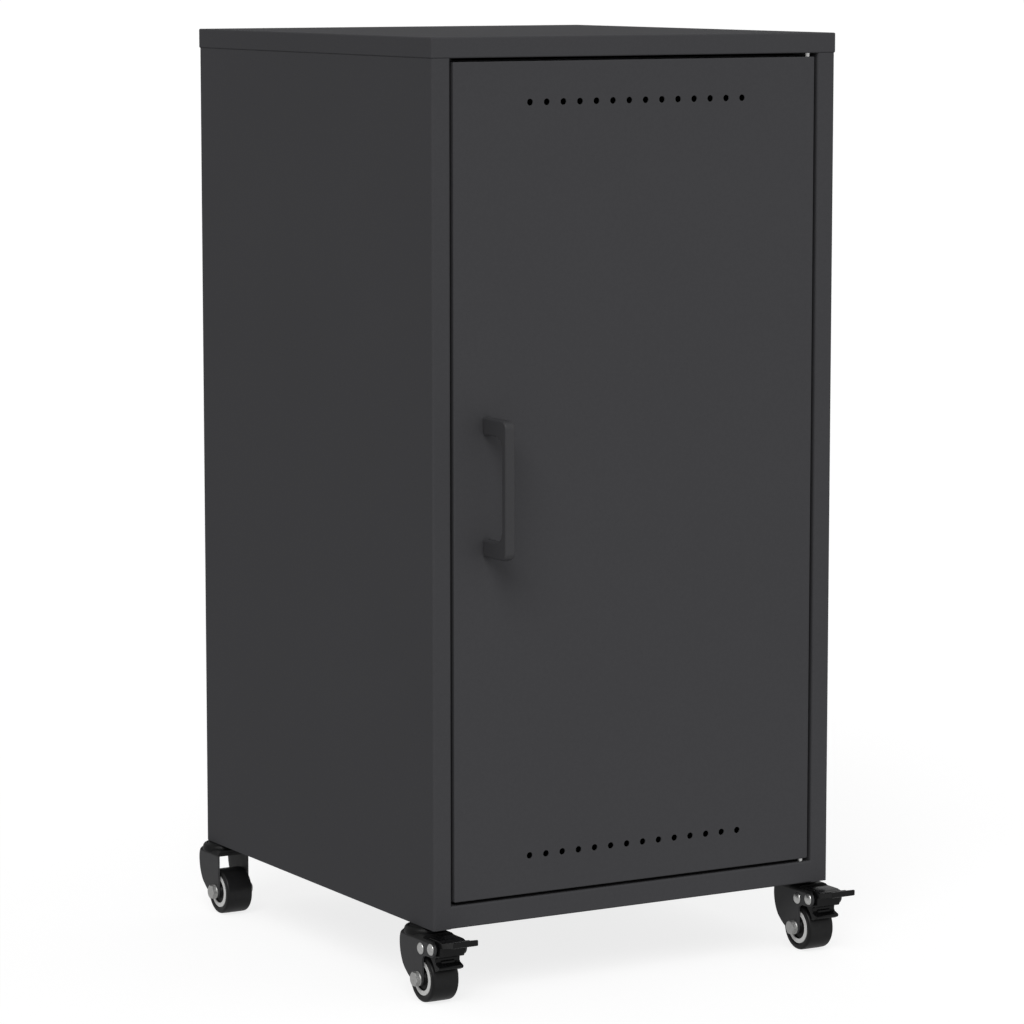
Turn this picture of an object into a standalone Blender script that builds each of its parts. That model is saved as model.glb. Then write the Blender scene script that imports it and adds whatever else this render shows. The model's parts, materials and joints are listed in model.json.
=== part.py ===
"""Rolling pedestal cabinet: a folded sheet-steel case with a lid, one inset door and four swivel casters.

Lengths are metres. Case coordinates start at the front left bottom corner of the case, with x to the
right, y to the back and z up. Caster coordinates start where a swivel axis meets the case's underside.
"""

import math

import bmesh
import bpy
from mathutils import Matrix, Vector

MM = 0.001
GAP = 0.3 * MM

# Case
CASE_WIDTH = 390 * MM
CASE_DEPTH = 423 * MM
CASE_HEIGHT = 731 * MM
FLOOR_CLEARANCE = 62 * MM
FRONT_Y = -194.5 * MM
GAUGE = 1.0 * MM
BEND_RADIUS = 2.0 * MM
BEND_SEGMENTS = 3
SHARP_ANGLE = math.radians(30)

# Lid
LID_HEIGHT = 16.8 * MM
LID_OVERHANG = 0.5 * MM
LID_HEM = 12 * MM
LID_BEND = 1.2 * MM
LID_SEAM = 0.3 * MM

# Side panels: front stile, return, door stop and rear flange
STILE_WIDTH = 17 * MM
STILE_RETURN = 18 * MM
STOP_WIDTH = 12 * MM
REAR_FLANGE = 13 * MM
TOP_FLANGE_WIDTH = 13.5 * MM
TOP_FLANGE_DROP = 0.2 * MM
TOP_FLANGE_FRONT = 22 * MM
TOP_FLANGE_BACK = 408 * MM

# Rails, floor, back and shelf
RAIL_HEIGHT = 18.9 * MM
RAIL_RETURN = 15.8 * MM
RAIL_BEND = 1.5 * MM
FLOOR_TOP = 18.6 * MM
FLOOR_BOTTOM = 0.4 * MM
FLOOR_HEM = 25 * MM
FLOOR_FRONT = 19.4 * MM
FLOOR_BACK = 420.2 * MM
PANEL_SIDE_GAP = 1.6 * MM
BACK_FACE = 421.7 * MM
BACK_MARGIN = 30 * MM
BACK_PRESSING = 1.5 * MM
BACK_SLOPE = 2.0 * MM
BACK_BEND = 1.2 * MM
BACK_TOP_GAP = 2.2 * MM
TOP_RAIL_SIDE = 18 * MM
TOP_RAIL_FRONT = 19.4 * MM
TOP_RAIL_BOTTOM = 690 * MM
TOP_RAIL_TOP = 712.2 * MM
TOP_RAIL_DEPTH = 15 * MM
SHELF_BOTTOM = 362.3 * MM
SHELF_THICKNESS = 18 * MM
SHELF_HEM = 12 * MM
SHELF_SIDE_GAP = 2.0 * MM
SHELF_FRONT = 46 * MM
SHELF_BACK = 417 * MM
RUNNER_HEIGHT = 22 * MM
RUNNER_LEDGE = 13 * MM

# Door
DOOR_LEFT = 19.6 * MM
DOOR_RIGHT = 369.5 * MM
DOOR_BOTTOM = 21.8 * MM
DOOR_TOP = 711.0 * MM
DOOR_THICKNESS = 16 * MM
DOOR_HEM = 20 * MM
DOOR_BEND = 1.0 * MM
VENT_COUNT = 14
VENT_PITCH = 15.8 * MM
VENT_RADIUS = 2.8 * MM
VENT_FIRST_X = 91.3 * MM
VENT_ROWS = (54.1 * MM, 677.8 * MM)
STIFFENER_BOTTOM = 75 * MM
STIFFENER_TOP = 655 * MM
STIFFENER_HALF = 25 * MM
STIFFENER_FLANGE = 12 * MM
STIFFENER_BACK = 13 * MM

# Door pivots
PIVOT_X = 364.8 * MM
PIVOT_Y = 4.8 * MM
PIN_RADIUS = 2.5 * MM
PIN_HOLE = 2.8 * MM
PIN_HEAD_RADIUS = 3.4 * MM
PIN_HEAD = 2.0 * MM
PIN_CHAMFER = 0.75 * MM
PIN_REACH = 10 * MM
BRACKET_THICKNESS = 2.0 * MM
BRACKET_LEFT = 350 * MM
BRACKET_RIGHT = 371.5 * MM
BRACKET_FRONT = 1.8 * MM
BRACKET_BACK = 15 * MM
BRACKET_GAP = 0.4 * MM

# Handle
HANDLE_X = 50.8 * MM
HANDLE_Z = 365.5 * MM
HANDLE_WIDTH = 9.0 * MM
HANDLE_HALF = 57.2 * MM
HANDLE_REACH = 38.0 * MM
HANDLE_BAR = 6.5 * MM
HANDLE_LEG = 14.0 * MM
HANDLE_OUTER_RADIUS = 7.0 * MM
HANDLE_FILLET = 11.0 * MM
HANDLE_EDGE = 1.2 * MM
HANDLE_SCREW_Z = 48.0 * MM
SCREW_RADIUS = 2.0 * MM
SCREW_HOLE = 2.3 * MM
SCREW_HEAD_RADIUS = 3.8 * MM
SCREW_HEAD = 2.2 * MM
SCREW_LENGTH = 13 * MM
SCREW_HOLE_DEPTH = 14 * MM
# Share of a screw head's radius in its flat face, and of its height left at the rim
SCREW_FACE = 0.6
SCREW_RIM = 0.4

# Magnetic catch
CATCH_Z = 365 * MM
CATCH_HALF = 20 * MM
CATCH_LEFT = 29.6 * MM
CATCH_WIDTH = 12 * MM
CATCH_FRONT = 17.4 * MM
CATCH_BACK = 31 * MM
EAR_LEFT = 18 * MM
EAR_THICKNESS = 2.4 * MM
EAR_HALF = 15 * MM
STRIKE_LEFT = 27 * MM
STRIKE_RIGHT = 39 * MM
STRIKE_THICKNESS = 0.8 * MM

# Back panel screws
BACK_SCREW_INSET_X = 6.5 * MM
BACK_SCREW_INSET_Z = 90 * MM
BACK_SCREW_RADIUS = 1.6 * MM
BACK_SCREW_HOLE = 1.9 * MM
BACK_SCREW_HEAD = 1.9 * MM
BACK_SCREW_HEAD_RADIUS = 3.4 * MM
BACK_SCREW_LENGTH = 6 * MM

# Casters
AXIS_INSET = 8.5 * MM
FRONT_AXIS_Y = 31 * MM
REAR_AXIS_Y = 410 * MM
WHEEL_RADIUS = 20.3 * MM
WHEEL_TRAIL = 16.6 * MM
AXLE_Z = WHEEL_RADIUS - FLOOR_CLEARANCE
BORE_RADIUS = 3.3 * MM
AXLE_RADIUS = 3.0 * MM
HEX_RADIUS = 6.5 * MM
FORK_HALF = 15.3 * MM
FORK_GAUGE = 1.8 * MM
FORK_TOP = -4.0 * MM
FORK_BEND = 5.0 * MM
AXLE_END = 20.3 * MM
KINGPIN_HOLE = 4.3 * MM
STEM_HOLE = 4.2 * MM
PLATE_INNER = 17.5 * MM
PLATE_OUTER = 5.1 * MM
PLATE_HALF = 8.5 * MM
PLATE_BOTTOM = 1.8 * MM
PLATE_THICKNESS = 2.0 * MM
BOSS_TOP = 16.0 * MM
SOCKET_RADIUS = 5.0 * MM

# Brake, in caster coordinates (y, z)
PEDAL_PIVOT = (-38.0 * MM, -13.0 * MM)
REAR_RIVET = (-21.0 * MM, -15.3 * MM)
PEDAL_HALF = 11.7 * MM
PEDAL_EDGE = 0.8 * MM
SHOE_RADIUS = 24.1 * MM
SHOE_ARC = (155, 118)
RIVET_RADIUS = 2.2 * MM
RIVET_HOLE = 2.5 * MM
RIVET_HEAD_RADIUS = 5.0 * MM
RIVET_HEAD = 2.0 * MM
RIVET_FACE_RADIUS = 3.0 * MM
RIVET_CROWN = 1.0 * MM

# Pedal side view (y, z) in millimetres, from the tongue's root round the tip to the shoe, then up the back
PEDAL_TONGUE = (
    (-50.0, -6.1),
    (-67.9, -1.7),
    (-68.9, -1.6),
    (-69.5, -2.3),
    (-69.5, -4.5),
    (-68.5, -5.1),
    (-50.6, -9.0),
    (-47.6, -10.0),
)
PEDAL_HOUSING = ((-46.6, -11.6), (-46.6, -17.6), (-45.6, -18.6), (-39.8, -19.4), (-38.6, -20.6))
PEDAL_LIP = ((-38.6, -24.0), (-39.8, -25.6), (-44.6, -27.2), (-45.4, -28.4), (-44.6, -29.8), (-40.0, -31.8))
PEDAL_BACK = ((-27.2, -18.0), (-27.2, -7.6), (-28.0, -6.0), (-30.0, -5.1), (-43.6, -5.1), (-46.4, -5.6))

# Fork side view (y, z) in millimetres: the bowed rear edge to the foot, then the front edge round the ear
FORK_BACK = (
    (10.0, -3.0),
    (13.2, -7.0),
    (15.0, -11.5),
    (15.4, -16.0),
    (14.8, -22.0),
    (12.6, -29.0),
    (8.8, -35.2),
    (1.5, -41.2),
    (-6.0, -45.2),
)
FORK_FRONT = -22.8
FORK_FRONT_TOP = -3.0
FORK_EAR_BOTTOM = ((-22.8, -26.0), (-24.0, -22.6), (-27.2, -20.4))
FORK_EAR_TOP = ((-24.3, -6.4), (-22.8, -5.6))
FOOT_RADIUS = 6.2 * MM
FOOT_ARC = (-58, -180)
EAR_RADIUS = 6.6 * MM
EAR_ARC = (-90, -270)
FORK_DEPTH = 52 * MM
FORK_LENGTH = 70 * MM
FORK_START = -50 * MM

# Wheel half sections (radius, distance out from the middle) in millimetres, from the outer side inwards
TYRE_SECTION = ((14.9, 11.6), (17.4, 12.5), (19.3, 11.9), (20.2, 9.5), (20.3, 6.5))
CORE_SECTION = ((3.3, 12.8), (5.4, 12.8), (5.9, 11.2), (8.0, 10.9), (9.0, 12.4), (14.6, 11.1))

# Stem side section (radius, z) in millimetres, from the tip through the crown disc to the kingpin's head
STEM_SECTION = (
    (0.0, 15.5),
    (3.2, 15.5),
    (3.9, 14.8),
    (3.9, -0.35),
    (15.7, -0.35),
    (17.5, -1.8),
    (17.5, -3.0),
    (17.1, -3.4),
    (4.0, -3.4),
    (4.0, -6.2),
    (7.0, -6.2),
    (7.0, -7.7),
    (6.0, -8.6),
    (0.0, -8.6),
)

ROUND_STEPS = 32
STEM_STEPS = 20
SMALL_STEPS = 16
VENT_STEPS = 12
OUTLINE_STEPS = 6

COAT = ((0.051, 0.051, 0.055), 0.0, 0.45)
BLACK_STEEL = ((0.03, 0.03, 0.032), 0.2, 0.4)
BLACK_PLASTIC = ((0.012, 0.012, 0.013), 0.0, 0.3)
TYRE = ((0.011, 0.011, 0.012), 0.0, 0.4)
PALE_PLASTIC = ((0.58, 0.58, 0.57), 0.0, 0.45)
ZINC = ((0.62, 0.62, 0.61), 1.0, 0.32)

CORNERS = {
    "front_left": (AXIS_INSET, FRONT_AXIS_Y, -1),
    "front_right": (CASE_WIDTH - AXIS_INSET, FRONT_AXIS_Y, 1),
    "rear_left": (AXIS_INSET, REAR_AXIS_Y, -1),
    "rear_right": (CASE_WIDTH - AXIS_INSET, REAR_AXIS_Y, 1),
}
BRAKED = ("front_left", "front_right")


def clear_scene():
    for obj in list(bpy.data.objects):
        bpy.data.objects.remove(obj)


def new_collection(name):
    collection = bpy.data.collections.new(name)
    bpy.context.scene.collection.children.link(collection)
    return collection


clear_scene()
PARTS = new_collection("rolling_pedestal_cabinet")
CUTTERS = new_collection("cutters")
CUTTERS.hide_render = True


def world(x, y, z):
    """Case coordinates to world coordinates."""
    return Vector((x - CASE_WIDTH / 2, y + FRONT_Y, z + FLOOR_CLEARANCE))


def coloured(obj, finish):
    color, metallic, roughness = finish
    material = bpy.data.materials.new(obj.name)
    material.use_nodes = True
    shader = material.node_tree.nodes["Principled BSDF"]
    shader.inputs["Base Color"].default_value = (*color, 1.0)
    shader.inputs["Metallic"].default_value = metallic
    shader.inputs["Roughness"].default_value = roughness
    obj.data.materials.append(material)


def add_object(name, bm, location, finish=None):
    """Finishes a bmesh as a part, or as a cutter when it has no finish."""
    bm.normal_update()
    mesh = bpy.data.meshes.new(name)
    bm.to_mesh(mesh)
    bm.free()
    obj = bpy.data.objects.new(name, mesh)
    obj.location = location
    if finish is None:
        CUTTERS.objects.link(obj)
        obj.hide_render = True
        obj.display_type = "WIRE"
    else:
        PARTS.objects.link(obj)
        coloured(obj, finish)
    return obj


def cube_bmesh(low, high):
    """A box about its own middle. Returns the bmesh and the middle."""
    low = Vector(low)
    high = Vector(high)
    bm = bmesh.new()
    bmesh.ops.create_cube(bm, size=1.0)
    bmesh.ops.scale(bm, vec=high - low, verts=bm.verts)
    bm.normal_update()
    return bm, (low + high) / 2


def box(name, low, high, finish=None):
    bm, middle = cube_bmesh(low, high)
    return add_object(name, bm, world(*middle), finish)


def tray(name, low, high, open_side, hem, finish):
    """A box-shaped shell, open on one side, with a hem folded in around the opening."""
    bm, middle = cube_bmesh(low, high)
    side = Vector(open_side)
    opening = [face for face in bm.faces if face.normal.dot(side) > 0.9]
    bmesh.ops.inset_region(bm, faces=opening, thickness=hem)
    bmesh.ops.delete(bm, geom=opening, context="FACES")
    return add_object(name, bm, world(*middle), finish)


def ribbon(name, path, sweep, outward, finish):
    """A strip swept along a vector from a path of case coordinates, its first face turned outward."""
    bm = bmesh.new()
    verts = [bm.verts.new(world(*point)) for point in path]
    edges = [bm.edges.new(pair) for pair in zip(verts, verts[1:])]
    swept = bmesh.ops.extrude_edge_only(bm, edges=edges)
    moved = [item for item in swept["geom"] if isinstance(item, bmesh.types.BMVert)]
    bmesh.ops.translate(bm, verts=moved, vec=Vector(sweep))
    bm.normal_update()
    middle = (verts[0].co + verts[1].co + Vector(sweep)) / 2
    first = min(bm.faces, key=lambda face: (face.calc_center_median() - middle).length)
    if first.normal.dot(Vector(outward)) < 0:
        bmesh.ops.reverse_faces(bm, faces=bm.faces)
    return add_object(name, bm, Vector(), finish)


def fold(obj, radius, gauge=GAUGE):
    """Rounds a shell's bends and gives it the sheet's thickness inwards."""
    bend = obj.modifiers.new("bend", "BEVEL")
    bend.width = radius
    bend.segments = BEND_SEGMENTS
    bend.limit_method = "ANGLE"
    bend.angle_limit = SHARP_ANGLE
    sheet = obj.modifiers.new("gauge", "SOLIDIFY")
    sheet.thickness = gauge
    sheet.offset = -1.0
    sheet.use_even_offset = True
    return obj


def soften(obj, radius, segments=2):
    edge = obj.modifiers.new("edge", "BEVEL")
    edge.width = radius
    edge.segments = segments
    edge.limit_method = "ANGLE"
    edge.angle_limit = SHARP_ANGLE
    return obj


def boolean(obj, other, operation):
    step = obj.modifiers.new(operation.lower(), "BOOLEAN")
    step.operation = operation
    step.object = other
    step.solver = "EXACT"
    return obj


def rods(name, centres, radius, length, axis, steps=SMALL_STEPS):
    """Parallel cylinders in one object, along X, Y or Z, turned half a step as in turned()."""
    half_step = Matrix.Rotation(math.pi / steps, 4, "Z")
    turn = Vector((0, 0, 1)).rotation_difference(Vector(axis)).to_matrix().to_4x4() @ half_step
    bm = bmesh.new()
    for centre in centres:
        bmesh.ops.create_cone(
            bm,
            cap_ends=True,
            segments=steps,
            radius1=radius,
            radius2=radius,
            depth=length,
            matrix=Matrix.Translation(centre) @ turn,
        )
    return add_object(name, bm, Vector())


def arc(centre, radius, start, end, steps):
    """Points on an arc, in degrees counter-clockwise from the first axis."""
    points = []
    for step in range(steps + 1):
        angle = math.radians(start + (end - start) * step / steps)
        points.append((centre[0] + radius * math.cos(angle), centre[1] + radius * math.sin(angle)))
    return points


def prism(name, outline, half, location, finish=None):
    """A closed (y, z) outline carried through from -half to +half along x."""
    bm = bmesh.new()
    verts = [bm.verts.new((-half, y, z)) for y, z in outline]
    edges = [bm.edges.new(pair) for pair in zip(verts, verts[1:] + verts[:1])]
    face = bmesh.ops.contextual_create(bm, geom=edges)["faces"]
    swept = bmesh.ops.extrude_face_region(bm, geom=face)
    moved = [item for item in swept["geom"] if isinstance(item, bmesh.types.BMVert)]
    bmesh.ops.translate(bm, verts=moved, vec=(2 * half, 0, 0))
    bmesh.ops.recalc_face_normals(bm, faces=bm.faces)
    return add_object(name, bm, location, finish)


def turned(name, profile, location, finish, steps=SMALL_STEPS, closed=False):
    """A (radius, height) profile, top to bottom, turned about the object's z axis, flats facing x and y."""
    bm = bmesh.new()
    half_step = math.pi / steps
    across, along = math.cos(half_step), math.sin(half_step)
    verts = [bm.verts.new((radius * across, radius * along, height)) for radius, height in profile]
    ends = zip(verts, verts[1:] + verts[:1]) if closed else zip(verts, verts[1:])
    for pair in ends:
        bm.edges.new(pair)
    obj = add_object(name, bm, location, finish)
    lathe = obj.modifiers.new("lathe", "SCREW")
    lathe.steps = steps
    lathe.render_steps = steps
    lathe.use_merge_vertices = True
    lathe.merge_threshold = 1e-5
    return obj


def along_x(obj):
    """Turns an object made about z so that its top points along +x."""
    obj.rotation_euler = (0, math.pi / 2, 0)
    return obj


def bake(obj):
    """Replaces an object's modifiers by their result, in its own space, shaded smooth between sharp edges."""
    graph = bpy.context.evaluated_depsgraph_get()
    mesh = bpy.data.meshes.new_from_object(obj.evaluated_get(graph))
    obj.modifiers.clear()
    obj.data = mesh
    mesh.shade_smooth()
    mesh.set_sharp_from_angle(angle=SHARP_ANGLE)
    return obj


def pivot_hole(name, z):
    return rods(name, [world(PIVOT_X, PIVOT_Y, z)], PIN_HOLE, 3 * PIN_HEAD, (0, 0, 1))


def build_lid():
    low = (-LID_OVERHANG, -LID_OVERHANG, CASE_HEIGHT - LID_HEIGHT)
    high = (CASE_WIDTH + LID_OVERHANG, CASE_DEPTH + LID_OVERHANG, CASE_HEIGHT)
    lid = fold(tray("top_panel", low, high, (0, 0, -1), LID_HEM, COAT), LID_BEND)
    boolean(lid, pivot_hole("lid_pin_hole", CASE_HEIGHT - LID_HEIGHT), "DIFFERENCE")


def side_path(side):
    """The plan of the left side panel from door stop to rear flange, mirrored for side +1."""
    path = [
        (STILE_WIDTH + STOP_WIDTH, STILE_RETURN),
        (STILE_WIDTH, STILE_RETURN),
        (STILE_WIDTH, 0),
        (0, 0),
        (0, CASE_DEPTH),
        (REAR_FLANGE, CASE_DEPTH),
    ]
    if side > 0:
        path = [(CASE_WIDTH - x, y) for x, y in path]
    return [(x, y, 0) for x, y in path]


def build_side(name, side):
    height = CASE_HEIGHT - LID_HEIGHT - LID_SEAM
    panel = ribbon(name, side_path(side), (0, 0, height), (0, -1, 0), COAT)
    fold(panel, BEND_RADIUS)
    edges = sorted(CASE_WIDTH / 2 + side * (CASE_WIDTH / 2 - x) for x in (GAUGE / 2, TOP_FLANGE_WIDTH))
    top = height - TOP_FLANGE_DROP
    flange = box(
        name + "_top_flange",
        (edges[0], TOP_FLANGE_FRONT, top - GAUGE),
        (edges[1], TOP_FLANGE_BACK, top),
    )
    boolean(panel, flange, "UNION")
    boolean(panel, back_screw_rods(name + "_screw_holes"), "DIFFERENCE")


def back_screw_points():
    points = []
    for x in (BACK_SCREW_INSET_X, CASE_WIDTH - BACK_SCREW_INSET_X):
        for z in (BACK_SCREW_INSET_Z, CASE_HEIGHT - BACK_SCREW_INSET_Z):
            points.append(world(x, CASE_DEPTH, z))
    return points


def back_screw_rods(name):
    return rods(name, back_screw_points(), BACK_SCREW_HOLE, 3 * BACK_SCREW_LENGTH, (0, 1, 0), VENT_STEPS)


def build_back():
    """A flat sheet with a shallow pressed field, which stops it drumming."""
    low = (PANEL_SIDE_GAP, BACK_FACE - GAUGE, GAUGE)
    high = (CASE_WIDTH - PANEL_SIDE_GAP, BACK_FACE, CASE_HEIGHT - LID_HEIGHT - BACK_TOP_GAP)
    bm, middle = cube_bmesh(low, high)
    others = [face for face in bm.faces if face.normal.y < 0.9]
    bmesh.ops.delete(bm, geom=others, context="FACES")
    field = bm.faces[:]
    bmesh.ops.inset_individual(bm, faces=field, thickness=BACK_MARGIN)
    bmesh.ops.inset_individual(bm, faces=field, thickness=BACK_SLOPE, depth=-BACK_PRESSING)
    panel = add_object("back_panel", bm, world(*middle), COAT)
    fold(panel, BACK_BEND)
    boolean(panel, back_screw_rods("back_screw_holes"), "DIFFERENCE")


def screw_profile(radius, head, shank, length, seat=0.0):
    """A pan-head screw, top to bottom: flat face, sloped crown, rim and shank."""
    rim = seat + SCREW_RIM * (head - seat)
    return [
        (0, head),
        (SCREW_FACE * radius, head),
        (radius, rim),
        (radius, seat),
        (shank, seat),
        (shank, -length),
        (0, -length),
    ]


def build_back_screws():
    names = ("left_lower", "left_upper", "right_lower", "right_upper")
    head = (BACK_SCREW_HEAD_RADIUS, BACK_SCREW_HEAD)
    profile = screw_profile(*head, BACK_SCREW_RADIUS, BACK_SCREW_LENGTH, GAP)
    for name, point in zip(names, back_screw_points()):
        screw = turned("back_screw_" + name, profile, point, ZINC, VENT_STEPS)
        screw.rotation_euler = (-math.pi / 2, 0, 0)


def build_floor():
    low = (PANEL_SIDE_GAP, FLOOR_FRONT, FLOOR_BOTTOM)
    high = (CASE_WIDTH - PANEL_SIDE_GAP, FLOOR_BACK, FLOOR_TOP)
    floor = fold(tray("floor_panel", low, high, (0, 0, -1), FLOOR_HEM, COAT), RAIL_BEND)
    centres = [world(x, y, FLOOR_BOTTOM) for x, y, _ in CORNERS.values()]
    boolean(floor, rods("stem_holes", centres, STEM_HOLE, 3 * PIN_HEAD, (0, 0, 1)), "DIFFERENCE")


def build_rails():
    left = STILE_WIDTH + GAP
    path = [(left, y, z) for y, z in ((RAIL_RETURN, 0), (0, 0), (0, RAIL_HEIGHT), (RAIL_RETURN, RAIL_HEIGHT))]
    rail = ribbon("bottom_rail", path, (CASE_WIDTH - 2 * left, 0, 0), (0, 0, -1), COAT)
    fold(rail, RAIL_BEND)
    boolean(rail, pivot_hole("rail_pin_hole", RAIL_HEIGHT), "DIFFERENCE")
    corners = (
        (TOP_RAIL_FRONT, TOP_RAIL_BOTTOM),
        (TOP_RAIL_FRONT, TOP_RAIL_TOP),
        (TOP_RAIL_FRONT + TOP_RAIL_DEPTH, TOP_RAIL_TOP),
    )
    path = [(TOP_RAIL_SIDE, y, z) for y, z in corners]
    span = CASE_WIDTH - 2 * TOP_RAIL_SIDE
    fold(ribbon("top_rail", path, (span, 0, 0), (0, -1, 0), COAT), RAIL_BEND)


def build_shelf():
    low = (SHELF_SIDE_GAP, SHELF_FRONT, SHELF_BOTTOM)
    high = (CASE_WIDTH - SHELF_SIDE_GAP, SHELF_BACK, SHELF_BOTTOM + SHELF_THICKNESS)
    fold(tray("shelf", low, high, (0, 0, -1), SHELF_HEM, COAT), RAIL_BEND)


def build_runner(name, side):
    wall = GAUGE + GAP
    top = SHELF_BOTTOM - GAP
    corners = ((wall, top - RUNNER_HEIGHT), (wall, top), (wall + RUNNER_LEDGE, top))
    middle = CASE_WIDTH / 2
    path = [(middle + side * (middle - x), SHELF_FRONT, z) for x, z in corners]
    runner = ribbon(name, path, (0, SHELF_BACK - SHELF_FRONT, 0), (side, 0, 0), COAT)
    fold(runner, RAIL_BEND)


def vent_cutter():
    centres = []
    for z in VENT_ROWS:
        for index in range(VENT_COUNT):
            centres.append(world(VENT_FIRST_X + index * VENT_PITCH, 0, z))
    return rods("vent_holes", centres, VENT_RADIUS, 3 * PIN_HEAD, (0, 1, 0), VENT_STEPS)


def build_door():
    low = (DOOR_LEFT, 0, DOOR_BOTTOM)
    high = (DOOR_RIGHT, DOOR_THICKNESS, DOOR_TOP)
    door = fold(tray("door_panel", low, high, (0, 1, 0), DOOR_HEM, COAT), DOOR_BEND)
    boolean(door, vent_cutter(), "DIFFERENCE")
    screws = [world(HANDLE_X, 0, HANDLE_Z + sign * HANDLE_SCREW_Z) for sign in (-1, 1)]
    boolean(door, rods("handle_holes", screws, SCREW_HOLE, 3 * PIN_HEAD, (0, 1, 0)), "DIFFERENCE")
    for name, z in (("bottom", DOOR_BOTTOM), ("top", DOOR_TOP)):
        boolean(door, pivot_hole("door_pin_hole_" + name, z), "DIFFERENCE")


def build_stiffener():
    middle = (DOOR_LEFT + DOOR_RIGHT) / 2
    front = GAUGE + GAP
    half = STIFFENER_HALF
    outer = half + STIFFENER_FLANGE
    plan = (
        (-outer, front),
        (-half, front),
        (-half, STIFFENER_BACK),
        (half, STIFFENER_BACK),
        (half, front),
        (outer, front),
    )
    path = [(middle + x, y, STIFFENER_BOTTOM) for x, y in plan]
    height = STIFFENER_TOP - STIFFENER_BOTTOM
    fold(ribbon("door_stiffener", path, (0, 0, height), (0, -1, 0), COAT), RAIL_BEND)


def build_pin(name, plate_z, direction):
    """A headed pivot pin that runs from its bracket through the case and into the door."""
    head = GAUGE + BRACKET_GAP + BRACKET_THICKNESS + GAP
    tip = head + PIN_REACH
    profile = [
        (0, PIN_HEAD),
        (PIN_HEAD_RADIUS, PIN_HEAD),
        (PIN_HEAD_RADIUS, 0),
        (PIN_RADIUS, 0),
        (PIN_RADIUS, -tip + PIN_CHAMFER),
        (PIN_RADIUS - PIN_CHAMFER, -tip),
        (0, -tip),
    ]
    pin = turned(name, profile, world(PIVOT_X, PIVOT_Y, plate_z - direction * head), ZINC)
    if direction > 0:
        pin.rotation_euler = (math.pi, 0, 0)


def build_pivots():
    """The door hangs between a pin under the lid's hem and a pin on the bottom rail."""
    build_pin("hinge_pin_top", CASE_HEIGHT - LID_HEIGHT, -1)
    build_pin("hinge_pin_bottom", RAIL_HEIGHT, 1)
    inner_lid = CASE_HEIGHT - LID_HEIGHT + GAUGE + BRACKET_GAP
    inner_rail = RAIL_HEIGHT - GAUGE - BRACKET_GAP - BRACKET_THICKNESS
    for name, z in (("hinge_bracket_top", inner_lid), ("hinge_bracket_bottom", inner_rail)):
        low = (BRACKET_LEFT, BRACKET_FRONT, z)
        high = (BRACKET_RIGHT, BRACKET_BACK, z + BRACKET_THICKNESS)
        bracket = box(name, low, high, ZINC)
        boolean(bracket, pivot_hole(name + "_hole", z + BRACKET_THICKNESS / 2), "DIFFERENCE")


def handle_outline():
    """Side view of the bridge handle: y towards the door, z up, about its middle."""
    front = -HANDLE_REACH
    radius = HANDLE_OUTER_RADIUS
    inner_z = HANDLE_HALF - HANDLE_LEG - HANDLE_FILLET
    inner_y = front + HANDLE_BAR
    upper = [(-GAP, HANDLE_HALF)]
    upper += arc((front + radius, HANDLE_HALF - radius), radius, 90, 180, 5)
    fillet = arc((inner_y + HANDLE_FILLET, inner_z), HANDLE_FILLET, 180, 90, 5)
    lower = [(y, -z) for y, z in reversed(upper)]
    inside = [(y, -z) for y, z in reversed(fillet)]
    foot = [(-GAP, -HANDLE_HALF + HANDLE_LEG)]
    head = [(-GAP, HANDLE_HALF - HANDLE_LEG)]
    return upper + lower + foot + inside + fillet + head


def build_handle():
    handle = prism("handle", handle_outline(), HANDLE_WIDTH / 2, world(HANDLE_X, 0, HANDLE_Z), COAT)
    soften(handle, HANDLE_EDGE)
    holes = [world(HANDLE_X, 0, HANDLE_Z + sign * HANDLE_SCREW_Z) for sign in (-1, 1)]
    cutter = rods("handle_screw_holes", holes, SCREW_HOLE, 2 * SCREW_HOLE_DEPTH, (0, 1, 0))
    boolean(handle, cutter, "DIFFERENCE")
    profile = screw_profile(SCREW_HEAD_RADIUS, SCREW_HEAD, SCREW_RADIUS, SCREW_LENGTH)
    for name, point in zip(("handle_screw_lower", "handle_screw_upper"), holes):
        inner_face = Vector((0, GAUGE + GAP, 0))
        screw = turned(name, profile, point + inner_face, ZINC)
        screw.rotation_euler = (-math.pi / 2, 0, 0)


def build_catch():
    right = CATCH_LEFT + CATCH_WIDTH
    low = (CATCH_LEFT, CATCH_FRONT, CATCH_Z - CATCH_HALF)
    catch = box("magnet_catch", low, (right, CATCH_BACK, CATCH_Z + CATCH_HALF), BLACK_PLASTIC)
    soften(catch, PEDAL_EDGE)
    back_of_stop = STILE_RETURN + GAUGE + GAP
    ear = box(
        "catch_ear",
        (EAR_LEFT, back_of_stop, CATCH_Z - EAR_HALF),
        ((CATCH_LEFT + right) / 2, back_of_stop + EAR_THICKNESS, CATCH_Z + EAR_HALF),
    )
    boolean(catch, ear, "UNION")
    hem_back = DOOR_THICKNESS + GAP
    low = (STRIKE_LEFT, hem_back, CATCH_Z - EAR_HALF)
    high = (STRIKE_RIGHT, hem_back + STRIKE_THICKNESS, CATCH_Z + EAR_HALF)
    box("catch_strike", low, high, ZINC)


def scaled(points):
    """Millimetre pairs as metre pairs."""
    return [(first * MM, second * MM) for first, second in points]


def mirrored(rise):
    """A half section carried round to the other side of the middle."""
    return list(rise) + [(radius, -height) for radius, height in reversed(rise)]


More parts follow.
